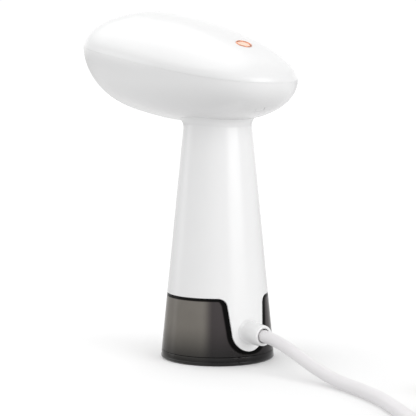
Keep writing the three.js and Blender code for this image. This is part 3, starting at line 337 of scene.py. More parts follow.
def egg_patch(inset, above, edge, around=224, up=72):
    """Rings of points from the seam to the pole of one half of the egg."""
    power = CROWN_POWER if above else BELLY_POWER
    height = (HEAD_CROWN if above else HEAD_BELLY) - inset
    first = math.asin((edge / height) ** (power / 2))
    latitude = np.linspace(first, math.pi / 2, up + 1)[:, None]
    longitude = np.linspace(0, 2 * math.pi, around, endpoint=False)[None, :]
    reach = np.cos(latitude) ** (2 / power)
    c, s = np.cos(longitude), np.sin(longitude)
    plan = 2 / np.where(s > 0, BACK_POWER, FRONT_POWER)
    length = np.where(s > 0, HEAD_BACK, HEAD_FRONT) - inset
    x = (HEAD_HALF_WIDTH - inset) * reach * np.sign(c) * np.abs(c) ** plan
    y = length * reach * np.sign(s) * np.abs(s) ** plan
    z = height * np.sin(latitude) ** (2 / power) * np.ones_like(longitude) * (1 if above else -1)
    return from_egg(np.stack([x, y, z], axis=-1))


def cylinder_cutter(radius, bottom, top, seat=None, sides=64):
    return lathe("cutter", [(0, bottom), (radius, bottom), (radius, top), (0, top)], seat, sides)


def half_shell(name, above, cutters):
    """One half of the head: the skin, cut where the plate's frame begins, given its wall and cut-outs."""
    rings = egg_patch(0, above, SEAM_GAP / 2)
    count = rings.shape[1]
    rows = rings.shape[0]
    points = np.concatenate([rings[:-1].reshape(-1, 3), rings[-1, :1]])
    faces = []
    for i in range(rows - 2):
        faces += band_faces(i * count, (i + 1) * count, count)
    pole = len(points) - 1
    base = (rows - 2) * count
    faces += [(base + k, base + (k + 1) % count, pole) for k in range(count)]
    obj = make_object(name, points, faces)
    mesh = bmesh.new()
    mesh.from_mesh(obj.data)
    back = plate_seat.to_3x3() @ Vector((0, 1, 0))
    edge = plate_seat @ Vector((0, 5.4 + SEAM_GAP, 0)) * M
    bmesh.ops.bisect_plane(
        mesh, geom=mesh.verts[:] + mesh.edges[:] + mesh.faces[:], dist=1e-7,
        plane_co=edge, plane_no=back, clear_inner=True)
    bmesh.ops.recalc_face_normals(mesh, faces=mesh.faces)
    far = max(mesh.faces, key=lambda f: f.calc_center_median().z * (1 if above else -1))
    if far.normal.z * (1 if above else -1) < 0:
        bmesh.ops.reverse_faces(mesh, faces=mesh.faces)
    mesh.to_mesh(obj.data)
    mesh.free()
    apply(obj, "SOLIDIFY", thickness=HEAD_WALL * M, offset=-1, use_rim=True)
    clean(obj)
    cut(obj, *cutters)
    bevel(obj, 0.14, 2)
    return shade(obj, 40, egg)


# ---------- the handle and the tank

def tongue_outline(grow):
    """The tongue's edge in x and z, from its right shoulder round the gland to its left one."""
    corner = TONGUE_TOP_HALF + TONGUE_FILLET
    corner_z = TANK_TOP + GAP - TONGUE_FILLET
    fillet = TONGUE_FILLET - grow
    radius = TONGUE_RADIUS + grow
    a = np.radians(np.linspace(90, 180, 17))
    shoulder = np.stack([corner + fillet * np.cos(a), corner_z + fillet * np.sin(a)], axis=1)
    t = np.linspace(0, 1, 27)[1:-1, None]
    side = shoulder[-1] * (1 - t) + np.array([radius, GLAND_Z]) * t
    a = np.radians(np.linspace(0, -180, 65))
    round_end = np.stack([radius * np.cos(a), GLAND_Z + radius * np.sin(a)], axis=1)
    right = np.concatenate([shoulder, side])
    left = right[::-1] * np.array([-1, 1])
    return np.concatenate([right, round_end, left])


FRONT_COLUMNS = 150


def on_cone(x, z, depth=0.0):
    """Points on the handle's cone, facing the cord, sunk by depth."""
    y = np.sqrt((cone_radius(z) - depth) ** 2 - x ** 2)
    return np.stack([x, y, z * np.ones_like(x)], axis=-1)


def at_angle(angle, radius, z):
    """Points at an angle from +Y towards +X."""
    return np.stack([radius * np.sin(angle), radius * np.cos(angle), z * np.ones_like(angle)], axis=-1)


def edge_angles(grow):
    """Angles of the columns that lie in the tongue, and of those round the front, between its shoulders."""
    outline = tongue_outline(grow)
    inside = np.arcsin(outline[:, 0] / cone_radius(outline[:, 1]))
    front = np.linspace(inside[-1], inside[0] - 2 * math.pi, FRONT_COLUMNS)
    return inside, front


def cone_surface(points):
    """Distance from the handle's cone, and its normal."""
    radius = np.hypot(points[:, 0], points[:, 1])
    safe = np.maximum(radius, 1e-6)
    normal = np.stack([points[:, 0] / safe, points[:, 1] / safe, np.full(len(points), TAPER)], axis=1)
    size = math.hypot(1, TAPER)
    return (radius - cone_radius(points[:, 2])) / size, normal / size


def neck_heights(angles):
    """For each column, the height at which the flare of the handle's top starts."""
    def below_head(height):
        top = height + NECK_FLARE_HEIGHT
        return egg(at_angle(angles, cone_radius(top) + NECK_FLARE, top), -NECK_GAP)[0] > 0

    return halve(below_head, np.full_like(angles, 140.0), np.full_like(angles, 175.0))


def make_handle():
    """The handle with its tongue: rings from inside the cone, round its lower edge, up to the spigot."""
    edge = HANDLE_EDGE
    inside, front = edge_angles(-edge)
    angles = np.concatenate([inside, front])
    neck = neck_heights(angles)
    split = len(inside)
    rings = []

    def tongue_and_front(tongue_points, front_points):
        rings.append(np.concatenate([tongue_points, front_points]))

    # up the inside of the handle
    top = neck + NECK_FLARE_HEIGHT
    rings.append(at_angle(angles, bore_radius(150), 150.0))
    rings.append(at_angle(angles, bore_radius(60), 60.0))
    tongue = tongue_outline(0)
    deep = np.stack([tongue[:, 0], np.full(split, TONGUE_FRONT), np.full(split, 56.0)], axis=1)
    tongue_and_front(deep, at_angle(front, bore_radius(56), 56.0))
    deep = np.stack([tongue[:, 0], np.full(split, TONGUE_FRONT), tongue[:, 1]], axis=1)
    tongue_and_front(deep, at_angle(front, bore_radius(TANK_TOP + GAP), TANK_TOP + GAP))
    for step in np.linspace(1, 0, 7):
        turn = step * math.pi / 2
        depth = edge * (1 - math.cos(turn))
        ring = tongue_outline(-edge + edge * math.sin(turn))
        height = TANK_TOP + GAP + edge * (1 - math.sin(turn))
        tongue_and_front(
            on_cone(ring[:, 0], ring[:, 1], depth),
            at_angle(front, cone_radius(height) - depth, height))
    for away in (0.3, 0.7):   # close rings keep the edge crisp
        ring = tongue_outline(-edge - away)
        height = TANK_TOP + GAP + edge + away
        tongue_and_front(on_cone(ring[:, 0], ring[:, 1]), at_angle(front, cone_radius(height), height))
    bottom = np.concatenate([ring[:, 1], np.full(FRONT_COLUMNS, height)])
    for step in np.linspace(0, 1, 25)[1:]:
        height = bottom + (neck - bottom) * step
        rings.append(at_angle(angles, cone_radius(height), height))
    for step in np.linspace(0, 1, NECK_FLARE_ROWS)[1:]:
        height = neck + NECK_FLARE_HEIGHT * step
        rings.append(at_angle(angles, cone_radius(height) + NECK_FLARE * step ** NECK_FLARE_POWER, height))
    rings.append(at_angle(angles, SPIGOT_RADIUS, top + 0.3))
    rings.append(at_angle(angles, SPIGOT_RADIUS, SPIGOT_TOP))
    rings.append(at_angle(angles, SPIGOT_RADIUS - WALL, SPIGOT_TOP))
    rings.append(at_angle(angles, SPIGOT_RADIUS - WALL, 157.0))
    handle = loft("handle", rings, closed=True, shaded=False)
    slot = stadium(TRIGGER_WIDTH / 2 + GAP, TRIGGER_HEIGHT / 2 + GAP, 3.2)
    cut(handle, loft("cutter", [section(slot, y, z=TRIGGER_Z) for y in (-45.0, -12.0)]))
    bevel(handle, 0.4, 2, 50)
    return shade(handle, 40, cone_surface)


def make_tank():
    """The tank's wall, notched for the tongue, with the collar that goes up inside the handle."""
    edge = TANK_EDGE
    bottom = BASE_HEIGHT + GAP / 2
    inside, front = edge_angles(GAP + edge)
    angles = np.concatenate([inside, front])
    split = len(inside)
    outline = tongue_outline(GAP + edge)
    top = np.concatenate([outline[:, 1], np.full(FRONT_COLUMNS, TANK_TOP - edge)])
    rings = [at_angle(angles, cone_radius(bottom) - WALL, bottom)]
    for step in np.linspace(0, 1, 5):
        turn = step * math.pi / 2
        height = bottom + 0.3 * (1 - math.cos(turn))
        rings.append(at_angle(angles, cone_radius(height) - 0.3 * (1 - math.sin(turn)), height))
    start = bottom + 0.3
    for step in np.linspace(0, 1, 31)[1:]:
        height = start + (top - start) * step
        rings.append(at_angle(angles, cone_radius(height), height))
    for step in np.linspace(0, 1, 7)[1:]:
        turn = step * math.pi / 2
        depth = edge * (1 - math.cos(turn))
        ring = tongue_outline(GAP + edge * (1 - math.sin(turn)))
        height = TANK_TOP - edge * (1 - math.sin(turn))
        rings.append(np.concatenate([
            on_cone(ring[:, 0], ring[:, 1], depth),
            at_angle(front, cone_radius(height) - depth, height)]))
    notch = tongue_outline(GAP)
    wall = TONGUE_FRONT - GAP
    corner = math.asin((TONGUE_TOP_HALF + TONGUE_FILLET + GAP) / COLLAR_RADIUS)
    collar = np.clip(front, corner - 2 * math.pi, -corner)
    for height, tongue_height in ((TANK_TOP, notch[:, 1]), (COLLAR_TOP - 0.5, COLLAR_TOP - 0.5)):
        deep = np.stack([notch[:, 0], np.full(split, wall), tongue_height * np.ones(split)], axis=1)
        rings.append(np.concatenate([deep, at_angle(collar, COLLAR_RADIUS, height)]))
    lip = np.stack([notch[:, 0] * 0.98, np.full(split, wall - 0.4), np.full(split, COLLAR_TOP)], axis=1)
    rings.append(np.concatenate([lip, at_angle(collar, COLLAR_RADIUS - 0.5, COLLAR_TOP)]))
    tank = loft("tank", rings, closed=False, caps=True, shaded=False)
    shade(tank, 40, cone_surface)
    mark_edge(tank)
    return tank


def mark_edge(obj):
    """Stores on each point its distance from the tank's upper edge, over the width of the painted shade band
    there.
    """
    mesh = obj.data
    place = pull(mesh.vertices, "co", 3) / M
    outline = tongue_outline(GAP)
    around = np.arctan2(place[:, 0], place[:, 1]) * cone_radius(place[:, 2])
    edge_around = np.arcsin(outline[:, 0] / cone_radius(outline[:, 1])) * cone_radius(outline[:, 1])
    along_edge = np.gradient(np.stack([edge_around, outline[:, 1]], axis=1), axis=0)
    steep = np.abs(along_edge[:, 1]) / np.linalg.norm(along_edge, axis=1)
    band = RIM_SHADE_BAND + (SIDE_SHADE_BAND - RIM_SHADE_BAND) * smooth(steep)
    share = np.full(len(place), 1e3)
    for a, z, width in zip(edge_around, outline[:, 1], band):
        share = np.minimum(share, np.hypot(around - a, place[:, 2] - z) / width)
    beyond = np.abs(around) > edge_around.max()
    share = np.where(beyond, np.minimum(share, np.abs(TANK_TOP - place[:, 2]) / RIM_SHADE_BAND), share)
    layer = mesh.attributes.new("edge_share", "FLOAT", "POINT")
    layer.data.foreach_set("value", share.astype(np.float32))


def make_tank_base():
    band = BASE_HEIGHT - GAP / 2
    outer = float(cone_radius(band))
    flange = float(cone_radius(2.2)) + 0.1
    profile = [(0, 0)]
    profile += arc(flange - 1.5, 1.5, 1.5, -90, -6, 8)
    profile += [(flange, 2.05), (flange - 0.06, 2.25), (flange - 0.25, 2.4)]
    profile += [(outer + 0.02, band - 0.3)] + arc(outer - 0.2, band - 0.2, 0.2, 0, 90, 5)
    profile += [(outer - WALL - 1, band), (0, band)]
    return lathe("tank_foot", profile, sides=160)


def make_gland():
    surface = float(cone_radius(GLAND_Z))
    mouth = surface + 16.2
    profile = [(4.75, surface - 8), (8.9, surface - 8), (8.9, surface - 1.6)]
    profile += arc(9.0, surface + 1.1, 1.3, -150, -180, 4)
    profile += [(7.55, surface + 4), (7.15, mouth - 5), (6.75, mouth - 1.1)]
    profile += arc(5.75, mouth - 0.95, 0.95, 0, 90, 6)
    profile += arc(5.45, mouth - 0.6, 0.6, 90, 180, 5)
    profile += [(4.75, mouth - 2.5)]
    return lathe("cord_sleeve", profile, gland_seat, 72, 50)


# ---------- steam plate

def plate_outline(inset, depth, count=200):
    """The egg's outline in the plate's frame at a depth behind the plate's face, as x and z."""
    a = np.linspace(0, 2 * math.pi, count, endpoint=False)
    seat = np.array(plate_seat)

    def within(radius):
        local = np.stack([radius * np.cos(a), np.full(count, depth), radius * np.sin(a)], axis=1)
        return egg(local @ seat[:3, :3].T + seat[:3, 3], inset)[0] < 0

    radius = halve(within, np.zeros(count), np.full(count, 90.0))
    return np.stack([radius * np.cos(a), radius * np.sin(a)], axis=1)


def plate_ring(inset, depth, share=1.0):
    return section(plate_outline(inset, max(depth, 0)) * share, depth)


FRAME_PROFILE = (   # inset from the head's surface and depth behind the plate's face
    (0.05, 5.4), (0, 5.2), (0, 3.5), (0, 1.7), (0.08, 1.45), (0.3, 1.25), (0.6, 1.2), (4.7, 1.2),
    (4.7, 3.9), (7.2, 3.9), (7.2, 5.4))
PLATE_PROFILE = ((5, 3.6), (5, 0.95), (0.9, 0.9), (0.8, 0.7), (0.8, 0.35), (0.95, 0.12), (1.3, 0.0))
PLATE_GROOVE = (   # share of the plate's outline and depth, from its flat edge over the groove to its middle
    (0.86, 0), (0.852, 0.08), (0.845, 0.3), (0.825, 0.3), (0.818, 0.08), (0.81, 0), (0.5, 0), (0.2, 0))
HOLE_RINGS = ((12, 0.62), (6, 0.3))   # holes in each ring, and its share of the plate's size
HOLE_REACH_X, HOLE_REACH_Z = 34.0, 25.4


def make_plate_frame():
    rings = [plate_ring(inset, depth) for inset, depth in FRAME_PROFILE]
    frame_ring = loft("plate_surround", rings, plate_seat, closed=True, shaded=False)
    return shade(frame_ring, 30, egg)


def make_plate():
    """The steam plate, with a groove along its edge and its countersunk holes."""
    rings = [plate_ring(inset, depth) for inset, depth in PLATE_PROFILE]
    rings += [plate_ring(PLATE_PROFILE[-1][0], depth, share) for share, depth in PLATE_GROOVE]
    plate = loft("sole_plate", rings, plate_seat, shaded=False)
    holes = []
    for count, share in HOLE_RINGS:
        for k in range(count):
            a = 2 * math.pi * k / count
            holes.append((HOLE_REACH_X * share * math.cos(a), HOLE_REACH_Z * share * math.sin(a)))
    points, faces, sides = [], [], 20
    for x, z in holes:
        first = len(points)
        for radius, depth in ((2.4, -0.3), (2.35, 0.05), (1.5, 0.75), (1.5, 5.0)):
            for k in range(sides):
                a = 2 * math.pi * k / sides
                points.append((x + radius * math.cos(a), depth, z + radius * math.sin(a)))
        for row in range(3):
            faces += band_faces(first + row * sides, first + (row + 1) * sides, sides)
        faces.append(tuple(first + k for k in range(sides)))
        faces.append(tuple(first + 3 * sides + k for k in range(sides)))
    cutter = clean(make_object("cutter", points, faces, plate_seat))
    cut(plate, cutter)
    return shade(plate, 30)


# ---------- small pieces

def make_button():
    ring = lathe("button_bezel", [(4.5, -3.0), (5.5, -3.0), (5.5, 0.05)]
                 + arc(5.2, 0.1, 0.3, 0, 90, 5) + arc(4.75, 0.15, 0.25, 90, 180, 4) + [(4.5, -0.2)],
                 button_seat, 72)
    cap = lathe("button_cap", [(0, -5), (1.8, -5), (1.8, -4.6), (5.1, -4.6), (5.1, -3.4), (4.25, -3.3),
                               (4.25, -0.35)] + arc(3.95, -0.3, 0.3, 0, 70, 5)
                + [(3.2, 0.05), (2.2, 0.12), (1.0, 0.17), (0, 0.18)], button_seat, 64, 50)
    return ring, cap


def make_screw_plug():
    """A disc of the lower shell's own skin."""
    sides = 56

    def ring_at(radius, depth):
        a = np.linspace(0, 2 * math.pi, sides, endpoint=False)
        x, y = radius * np.cos(a), SCREW_Y + radius * np.sin(a)
        low, high = np.full(sides, 150.0), np.full(sides, 190.0)
        skin = halve(lambda z: egg(np.stack([x, y, z], axis=1))[0] > 0, low, high)
        return np.stack([x, y, skin + depth], axis=1)

    edge = ((0.1, 2.2), (0, 2.0), (0, 0.35), (0.1, 0.1), (0.32, 0.0))
    rings = [ring_at(PLUG_RADIUS - less, depth) for less, depth in edge]
    rings += [ring_at(radius, 0.0) for radius in (2.2, 1.4, 0.7, 0.01)]
    return loft("rear_screw_cover", rings, angle=30)


def make_trigger():
    rings = []
    face = -float(cone_radius(TRIGGER_Z)) - 1.6

    def ring_at(y, shrink):
        outline = stadium(TRIGGER_WIDTH / 2 - shrink, TRIGGER_HEIGHT / 2 - shrink, 3.2)
        return section(outline, y, z=TRIGGER_Z)

    rings += [ring_at(-17.4, -1.5), ring_at(-19.0, -1.5), ring_at(-19.0, 0.3), ring_at(face + 1.2, 0.3)]
    for turn in np.radians(np.linspace(15, 90, 6)):
        rings.append(ring_at(face + 1.2 * (1 - math.sin(turn)), 0.3 + 1.2 * (1 - math.cos(turn))))
    rings += [ring_at(face + 0.15, 2.4), ring_at(face + 0.5, 3.6), ring_at(face + 0.6, 4.6)]
    trigger = loft("steam_key", rings, shaded=False)
    return shade(trigger, 30)


def plug_ring(y, half_width, half_height, power=3.0):
    return section(stadium(half_width, half_height, power, 80), y, PLUG_X, PLUG_Z)


def make_plug():
    back = BOOT_START - BOOT_LENGTH - GAP
    front = back - PLUG_LENGTH
    half_width, half_height = PLUG_WIDTH / 2, PLUG_THICKNESS / 2
    rings = [plug_ring(back, 8.1, 7.9, 2.2), plug_ring(back - 0.6, 8.8, 8.2, 2.3)]
    for share in np.linspace(0.12, 1, 12):
        grow = float(smooth(share))
        rings.append(plug_ring(back - 0.6 - 14 * share, 8.8 + (half_width - 8.8) * grow,
                               8.2 + (half_height - 8.2) * grow, 2.3 + 1.2 * grow))
    for k in range(5):  # grip ribs
        y = back - 15.8 - 2.2 * k
        for away, narrower in ((0, 0), (0.35, 0.7), (1.3, 0.7), (1.65, 0)):
            rings.append(plug_ring(y - away, half_width - narrower, half_height, 3.5))
    for away, smaller in ((1.2, 0), (0.4, 0.35), (0, 1.2)):
        rings.append(plug_ring(front + away, half_width - smaller, half_height - smaller, 3.5))
    body = loft("plug_shell", rings, angle=32)
    boot_seat = Matrix.Translation((PLUG_X, BOOT_START, PLUG_Z)) @ Matrix.Rotation(math.pi / 2, 4, "X")
    profile = [(4.25, 0.6), (4.25, 0)] + arc(4.4, 0.45, 0.45, -90, 0, 4)
    for k in range(7):  # slots round the boot
        z = 1.6 + 2.4 * k
        grow = 4.9 + 2.6 * (z / BOOT_LENGTH)
        profile += [(grow, z), (grow - 0.6, z + 0.15), (grow - 0.6, z + 0.9), (grow + 0.12, z + 1.05)]
    profile += [(7.6, 19.3), (8.0, 20.5), (8.0, BOOT_LENGTH), (4.25, BOOT_LENGTH)]
    boot = lathe("plug_sleeve", profile, boot_seat, 48, 40)
    pins = []
    turned = Matrix.Rotation(math.pi / 2, 4, "X")
    for side, name in ((-1, "plug_prong_1"), (1, "plug_prong_2")):
        seat = Matrix.Translation((PLUG_X + side * 9.5, front - GAP, PLUG_Z)) @ turned
        pins.append(lathe(name, [(0, 0), (2.4, 0), (2.4, 17.2)] + arc(0.7, 17.3, 1.7, 0, 90, 6) + [(0, 19)],
                          seat, 32, 40))
    return body, boot, pins


def make_tie():
    """A strap round the coil's section."""
    inner, outer, height = 34.9, 51.4, 24.8
    middle = (inner + outer) / 2
    half_y, half_z = (outer - inner) / 2 + 0.45, height / 2 + 0.3
    outline_in = stadium(half_y, half_z, 5, 88)
    outline_out = stadium(half_y + 1.1, half_z + 1.1, 5, 88)
    rings = []
    for x, outline in (
            (-4.2, outline_in), (4.2, outline_in), (4.5, outline_in * 1.012), (4.5, outline_out * 0.985),
            (4.2, outline_out), (-4.2, outline_out), (-4.5, outline_out * 0.985), (-4.5, outline_in * 1.012)):
        rings.append(np.stack([
            np.full(len(outline), float(x)), COIL_CENTRE[1] + middle + outline[:, 0],
            1.6 + height / 2 + outline[:, 1]], axis=1))
    return loft("coil_strap", rings, closed=True, angle=30)


# ---------- cord

def through(points, spacing):
    """Catmull-Rom points through the given ones, about spacing apart."""
    p = np.asarray(points, float)
    p = np.concatenate([[2 * p[0] - p[1]], p, [2 * p[-1] - p[-2]]])
    out = []
    for i in range(1, len(p) - 2):
        steps = max(2, int(np.linalg.norm(p[i + 1] - p[i]) / spacing))
        knots = [0.0]
        for k in range(3):
            knots.append(knots[-1] + max(np.linalg.norm(p[i + k] - p[i + k - 1]), 1e-6) ** 0.5)
        for t in np.linspace(knots[1], knots[2], steps, endpoint=False):
            a = [((knots[k + 1] - t) * p[i - 1 + k] + (t - knots[k]) * p[i + k]) / (knots[k + 1] - knots[k])
                 for k in range(3)]
            b = [((knots[k + 2] - t) * a[k] + (t - knots[k]) * a[k + 1]) / (knots[k + 2] - knots[k])
                 for k in range(2)]
            out.append(((knots[2] - t) * b[0] + (t - knots[1]) * b[1]) / (knots[2] - knots[1]))
    out.append(p[-2])
    return np.array(out)


def coil_points():
    """The turns of the coil: outside, inside, then up a layer and back out, and down at the end."""
    points = []
    last = len(COIL_TURNS) - 1
    step = 9
    for angle in range(0, int(360 * last + TAIL_END) + 1, step):
        turn = min(angle // 360, last)
        within = angle - 360 * turn
        radius, height = COIL_TURNS[turn]
        if turn < last:
            after = COIL_TURNS[turn + 1]
            end = CHANGE_END - CHANGE_LEAD * turn
            share = float(smooth((within - end + TURN_CHANGE) / TURN_CHANGE))
            radius += (after[0] - radius) * share
            height += (after[1] - height) * share
        else:
            share = (within - TAIL_START) / (TAIL_END - TAIL_START)
            radius += (TAIL_RADIUS - radius) * float(smooth(share / 0.9))
            height += (TAIL_Z - height) * float(smooth((share - 0.3) / 0.7))
        a = math.radians(angle)
        points.append((COIL_CENTRE[0] + radius * math.cos(a), COIL_CENTRE[1] + radius * math.sin(a), height))
    return points


def make_cord():
    """The cord as a tube, with the points of its centreline in metres."""
    route = CORD_POINTS + coil_points() + TAIL_POINTS
    line = through(route, 4.0)
    ahead = np.gradient(line, axis=0)
    ahead /= np.linalg.norm(ahead, axis=1)[:, None]
    side = np.array([1.0, 0.0, 0.0])
    turn = np.linspace(0, 2 * math.pi, 24, endpoint=False)[:, None]
    rings = []
    for centre, forward in zip(line, ahead):  # each ring keeps the last one's direction: no twist
        side = side - forward * (side @ forward)
        side /= np.linalg.norm(side)
        rings.append(centre + CORD_RADIUS * (np.cos(turn) * side + np.sin(turn) * np.cross(forward, side)))
    return loft("mains_cord", rings, angle=60), line * M


# ---------- materials

def new_material(name):
    material = bpy.data.materials.new(name)
    material.use_nodes = True
    tree = material.node_tree
    shader = tree.nodes["Principled BSDF"]
    return material, tree, shader


def node(tree, kind, **settings):
    made = tree.nodes.new(kind)
    for key, value in settings.items():
        if key in made.inputs:
            made.inputs[key].default_value = value
        else:
            setattr(made, key, value)
    return made


def noise(tree, scale, detail=4.0, stretch=(1, 1, 1)):
    """A noise over the object's own coordinates, in metres."""
    coordinates = node(tree, "ShaderNodeTexCoord")
    mapping = node(tree, "ShaderNodeMapping")
    mapping.inputs["Scale"].default_value = stretch
    texture = node(tree, "ShaderNodeTexNoise", Scale=scale, Detail=detail)
    tree.links.new(coordinates.outputs["Object"], mapping.inputs["Vector"])
    tree.links.new(mapping.outputs["Vector"], texture.inputs["Vector"])
    return texture.outputs["Fac"]


def map_range(tree, value, start, end, low=0.0, high=1.0, kind="SMOOTHSTEP"):
    """low where value is at start, high at end, with a soft start and end unless kind is LINEAR."""
    ranged = node(tree, "ShaderNodeMapRange", interpolation_type=kind)
    for name, number in zip(("From Min", "From Max", "To Min", "To Max"), (start, end, low, high)):
        ranged.inputs[name].default_value = number
    tree.links.new(value, ranged.inputs["Value"])
    return ranged.outputs["Result"]


def spread(tree, value, low, high):
    """Maps a noise's middle range to low..high."""
    return map_range(tree, value, 0.3, 0.7, low, high, "LINEAR")


def tint(tree, shader, value, dark, light):
    mix = node(tree, "ShaderNodeMix", data_type="RGBA")
    mix.inputs[6].default_value = (*dark, 1)
    mix.inputs[7].default_value = (*light, 1)
    tree.links.new(value, mix.inputs[0])
    tree.links.new(mix.outputs[2], shader.inputs["Base Color"])
    return mix


def add_bump(tree, shader, value, distance, strength=1.0):
    bump = node(tree, "ShaderNodeBump", Strength=strength, Distance=distance * M)
    tree.links.new(value, bump.inputs["Height"])
    tree.links.new(bump.outputs["Normal"], shader.inputs["Normal"])


def compass(azimuth, elevation=0):
    """Unit vector at an azimuth from +Y towards +X and an elevation, in degrees."""
    a, e = math.radians(azimuth), math.radians(elevation)
    return math.sin(a) * math.cos(e), math.cos(a) * math.cos(e), math.sin(e)


def along(tree, direction, axis):
    dot = node(tree, "ShaderNodeVectorMath", operation="DOT_PRODUCT")
    dot.inputs[1].default_value = axis
    tree.links.new(direction, dot.inputs[0])
    return dot.outputs["Value"]


def arithmetic(tree, operation, first, second=0.0):
    made = node(tree, "ShaderNodeMath", operation=operation)
    for socket, value in zip(made.inputs, (first, second)):
        if isinstance(value, (int, float)):
            socket.default_value = value
        else:
            tree.links.new(value, socket)
    return made.outputs[0]


def surface(name, colour, roughness, metallic=0.0, vary=0.02, grain=900.0, bump=0.004, rough_vary=0.04,
            stretch=(1, 1, 1), coat=0.0, glow=0.0, specular=0.5, scatter=0.0):
    """Moulded plastic, rubber or metal: a little cloudiness, uneven gloss and a fine grain."""
    material, tree, shader = new_material(name)
    colour = np.asarray(colour, float)
    tint(tree, shader, spread(tree, noise(tree, 35, 3), 0, 1), tuple(colour * (1 - vary)),
         tuple(np.minimum(colour * (1 + vary), 1)))
    tree.links.new(spread(tree, noise(tree, 90, 5, stretch), roughness - rough_vary, roughness + rough_vary),
                   shader.inputs["Roughness"])
    shader.inputs["Metallic"].default_value = metallic
    shader.inputs["Specular IOR Level"].default_value = specular
    shader.inputs["Coat Weight"].default_value = coat
    shader.inputs["Coat Roughness"].default_value = 0.08
    if scatter:
        shader.inputs["Subsurface Weight"].default_value = scatter
        shader.inputs["Subsurface Radius"].default_value = (0.002, 0.002, 0.002)
        shader.inputs["Subsurface Scale"].default_value = 1.0
    if glow:
        shader.inputs["Emission Color"].default_value = (*colour, 1)
        shader.inputs["Emission Strength"].default_value = glow
    add_bump(tree, shader, noise(tree, grain, 2, stretch), bump)
    return material


# painted light and shade on the tank: its colour at the back, in painted shade, and at the side, in painted
# light, and the angle in radians over which one passes to the other
SMOKE_SHADED, SMOKE_LIT = (0.036, 0.029, 0.030), (0.174, 0.160, 0.141)
SMOKE_TURN_START, SMOKE_TURN_END = 0.70, 0.93
FOOT_SHADE_TOP, FOOT_SHADE_SHARE = 0.029, 0.06   # height in metres up to which painted shade darkens the tank towards its foot, and to what share


def smoke_plastic(name, edge=True, depth=1.0):
    """Smoke-tinted clear plastic with painted light and shade: browner on the lit sides, darker at the back,
    and painted shade near black along its rims and towards its foot.
    """
    material, tree, shader = new_material(name)
    coordinates = node(tree, "ShaderNodeTexCoord")
    split = node(tree, "ShaderNodeSeparateXYZ")
    tree.links.new(coordinates.outputs["Object"], split.inputs["Vector"])
    around = arithmetic(tree, "ARCTAN2", split.outputs["X"], split.outputs["Y"])
    # painted light and shade: the tank is lighter on its sides and darker at its back, by the angle around it
    lit_side_share = map_range(tree, around, SMOKE_TURN_START, SMOKE_TURN_END)
    dark, light = (tuple(depth * c for c in colour) for colour in (SMOKE_SHADED, SMOKE_LIT))
    mix = tint(tree, shader, lit_side_share, dark, light)
    # painted shade: darker towards the foot
    low = map_range(tree, split.outputs["Z"], 0.0, FOOT_SHADE_TOP, FOOT_SHADE_SHARE)
    cloudy = spread(tree, noise(tree, 45, 3), 0.93, 1.07)
    factor = arithmetic(tree, "MULTIPLY", low, cloudy)
    if edge:
        layer = node(tree, "ShaderNodeAttribute", attribute_name="edge_share")
        # painted shade: near black along the tank's edges by the handle, with less gloss there
        rim = map_range(tree, layer.outputs["Fac"], 0.72, 1.05)
        factor = arithmetic(tree, "MULTIPLY", factor, arithmetic(tree, "ADD", rim, 0.03))
        gloss = arithmetic(tree, "MULTIPLY", arithmetic(tree, "ADD", rim, 0.25), 0.32)
        tree.links.new(gloss, shader.inputs["Specular IOR Level"])
    scale = node(tree, "ShaderNodeVectorMath", operation="SCALE")
    tree.links.new(mix.outputs[2], scale.inputs[0])
    tree.links.new(factor, scale.inputs["Scale"])
    tree.links.new(scale.outputs["Vector"], shader.inputs["Base Color"])
    tree.links.new(spread(tree, noise(tree, 120, 4), 0.10, 0.16), shader.inputs["Roughness"])
    shader.inputs["Specular IOR Level"].default_value = 0.4
    add_bump(tree, shader, noise(tree, 500, 2), 0.002)
    return material


MATERIALS = {
    "shell": surface("gloss_white", (0.86, 0.86, 0.862), 0.2, coat=0.25, vary=0.006, bump=0.0015),
    "inner_plastic": surface("grey_plastic", (0.36, 0.37, 0.38), 0.45, vary=0.06, bump=0.01),
    "dark_plastic": surface("dark_plastic", (0.035, 0.035, 0.037), 0.42, vary=0.1, bump=0.01),
    "steel": surface("steel", (0.62, 0.63, 0.64), 0.28, 1.0, vary=0.05, rough_vary=0.09, stretch=(1, 1, 12)),
    "plate": surface("coated_plate", (0.075, 0.076, 0.08), 0.3, 0.85, vary=0.12, rough_vary=0.08, grain=1400),
    "cast": surface("cast_aluminium", (0.52, 0.53, 0.54), 0.5, 0.9, vary=0.1, bump=0.06, grain=700),
    "brass": surface("brass", (0.62, 0.43, 0.17), 0.3, 1.0, vary=0.08, rough_vary=0.1),
    "silicone": surface("silicone", (0.72, 0.68, 0.61), 0.5, vary=0.04, scatter=0.2),
    "black_rubber": surface("black_rubber", (0.018, 0.018, 0.019), 0.62, vary=0.15, bump=0.02),
    "rose_metal": surface("rose_metal", (0.80, 0.40, 0.26), 0.22, 0.9, vary=0.05, rough_vary=0.05),
    "button": surface("button_glow", (0.93, 0.60, 0.47), 0.35, vary=0.03, glow=0.12, scatter=0.3),
    "board": surface("board_green", (0.02, 0.11, 0.045), 0.35, vary=0.2, bump=0.02),
    "lamp": surface("lamp_clear", (0.9, 0.78, 0.7), 0.15, vary=0.03, glow=0.3),
    "terminal": surface("terminal_cream", (0.74, 0.72, 0.66), 0.45, vary=0.05),
    "ceramic": surface("ceramic", (0.66, 0.63, 0.56), 0.35, vary=0.05),
    "wire": surface("wire_black", (0.02, 0.021, 0.023), 0.5, vary=0.2),
    "cord": surface("cord_white", (0.80, 0.785, 0.795), 0.38, vary=0.012, bump=0.006, grain=1500),
    "filter": surface("filter_stone", (0.5, 0.5, 0.48), 0.8, vary=0.12, bump=0.08, grain=1200),
}


def dress(obj, material):
    obj.data.materials.clear()
    obj.data.materials.append(material)
    for polygon in getattr(obj.data, "polygons", []):
        polygon.material_index = 0


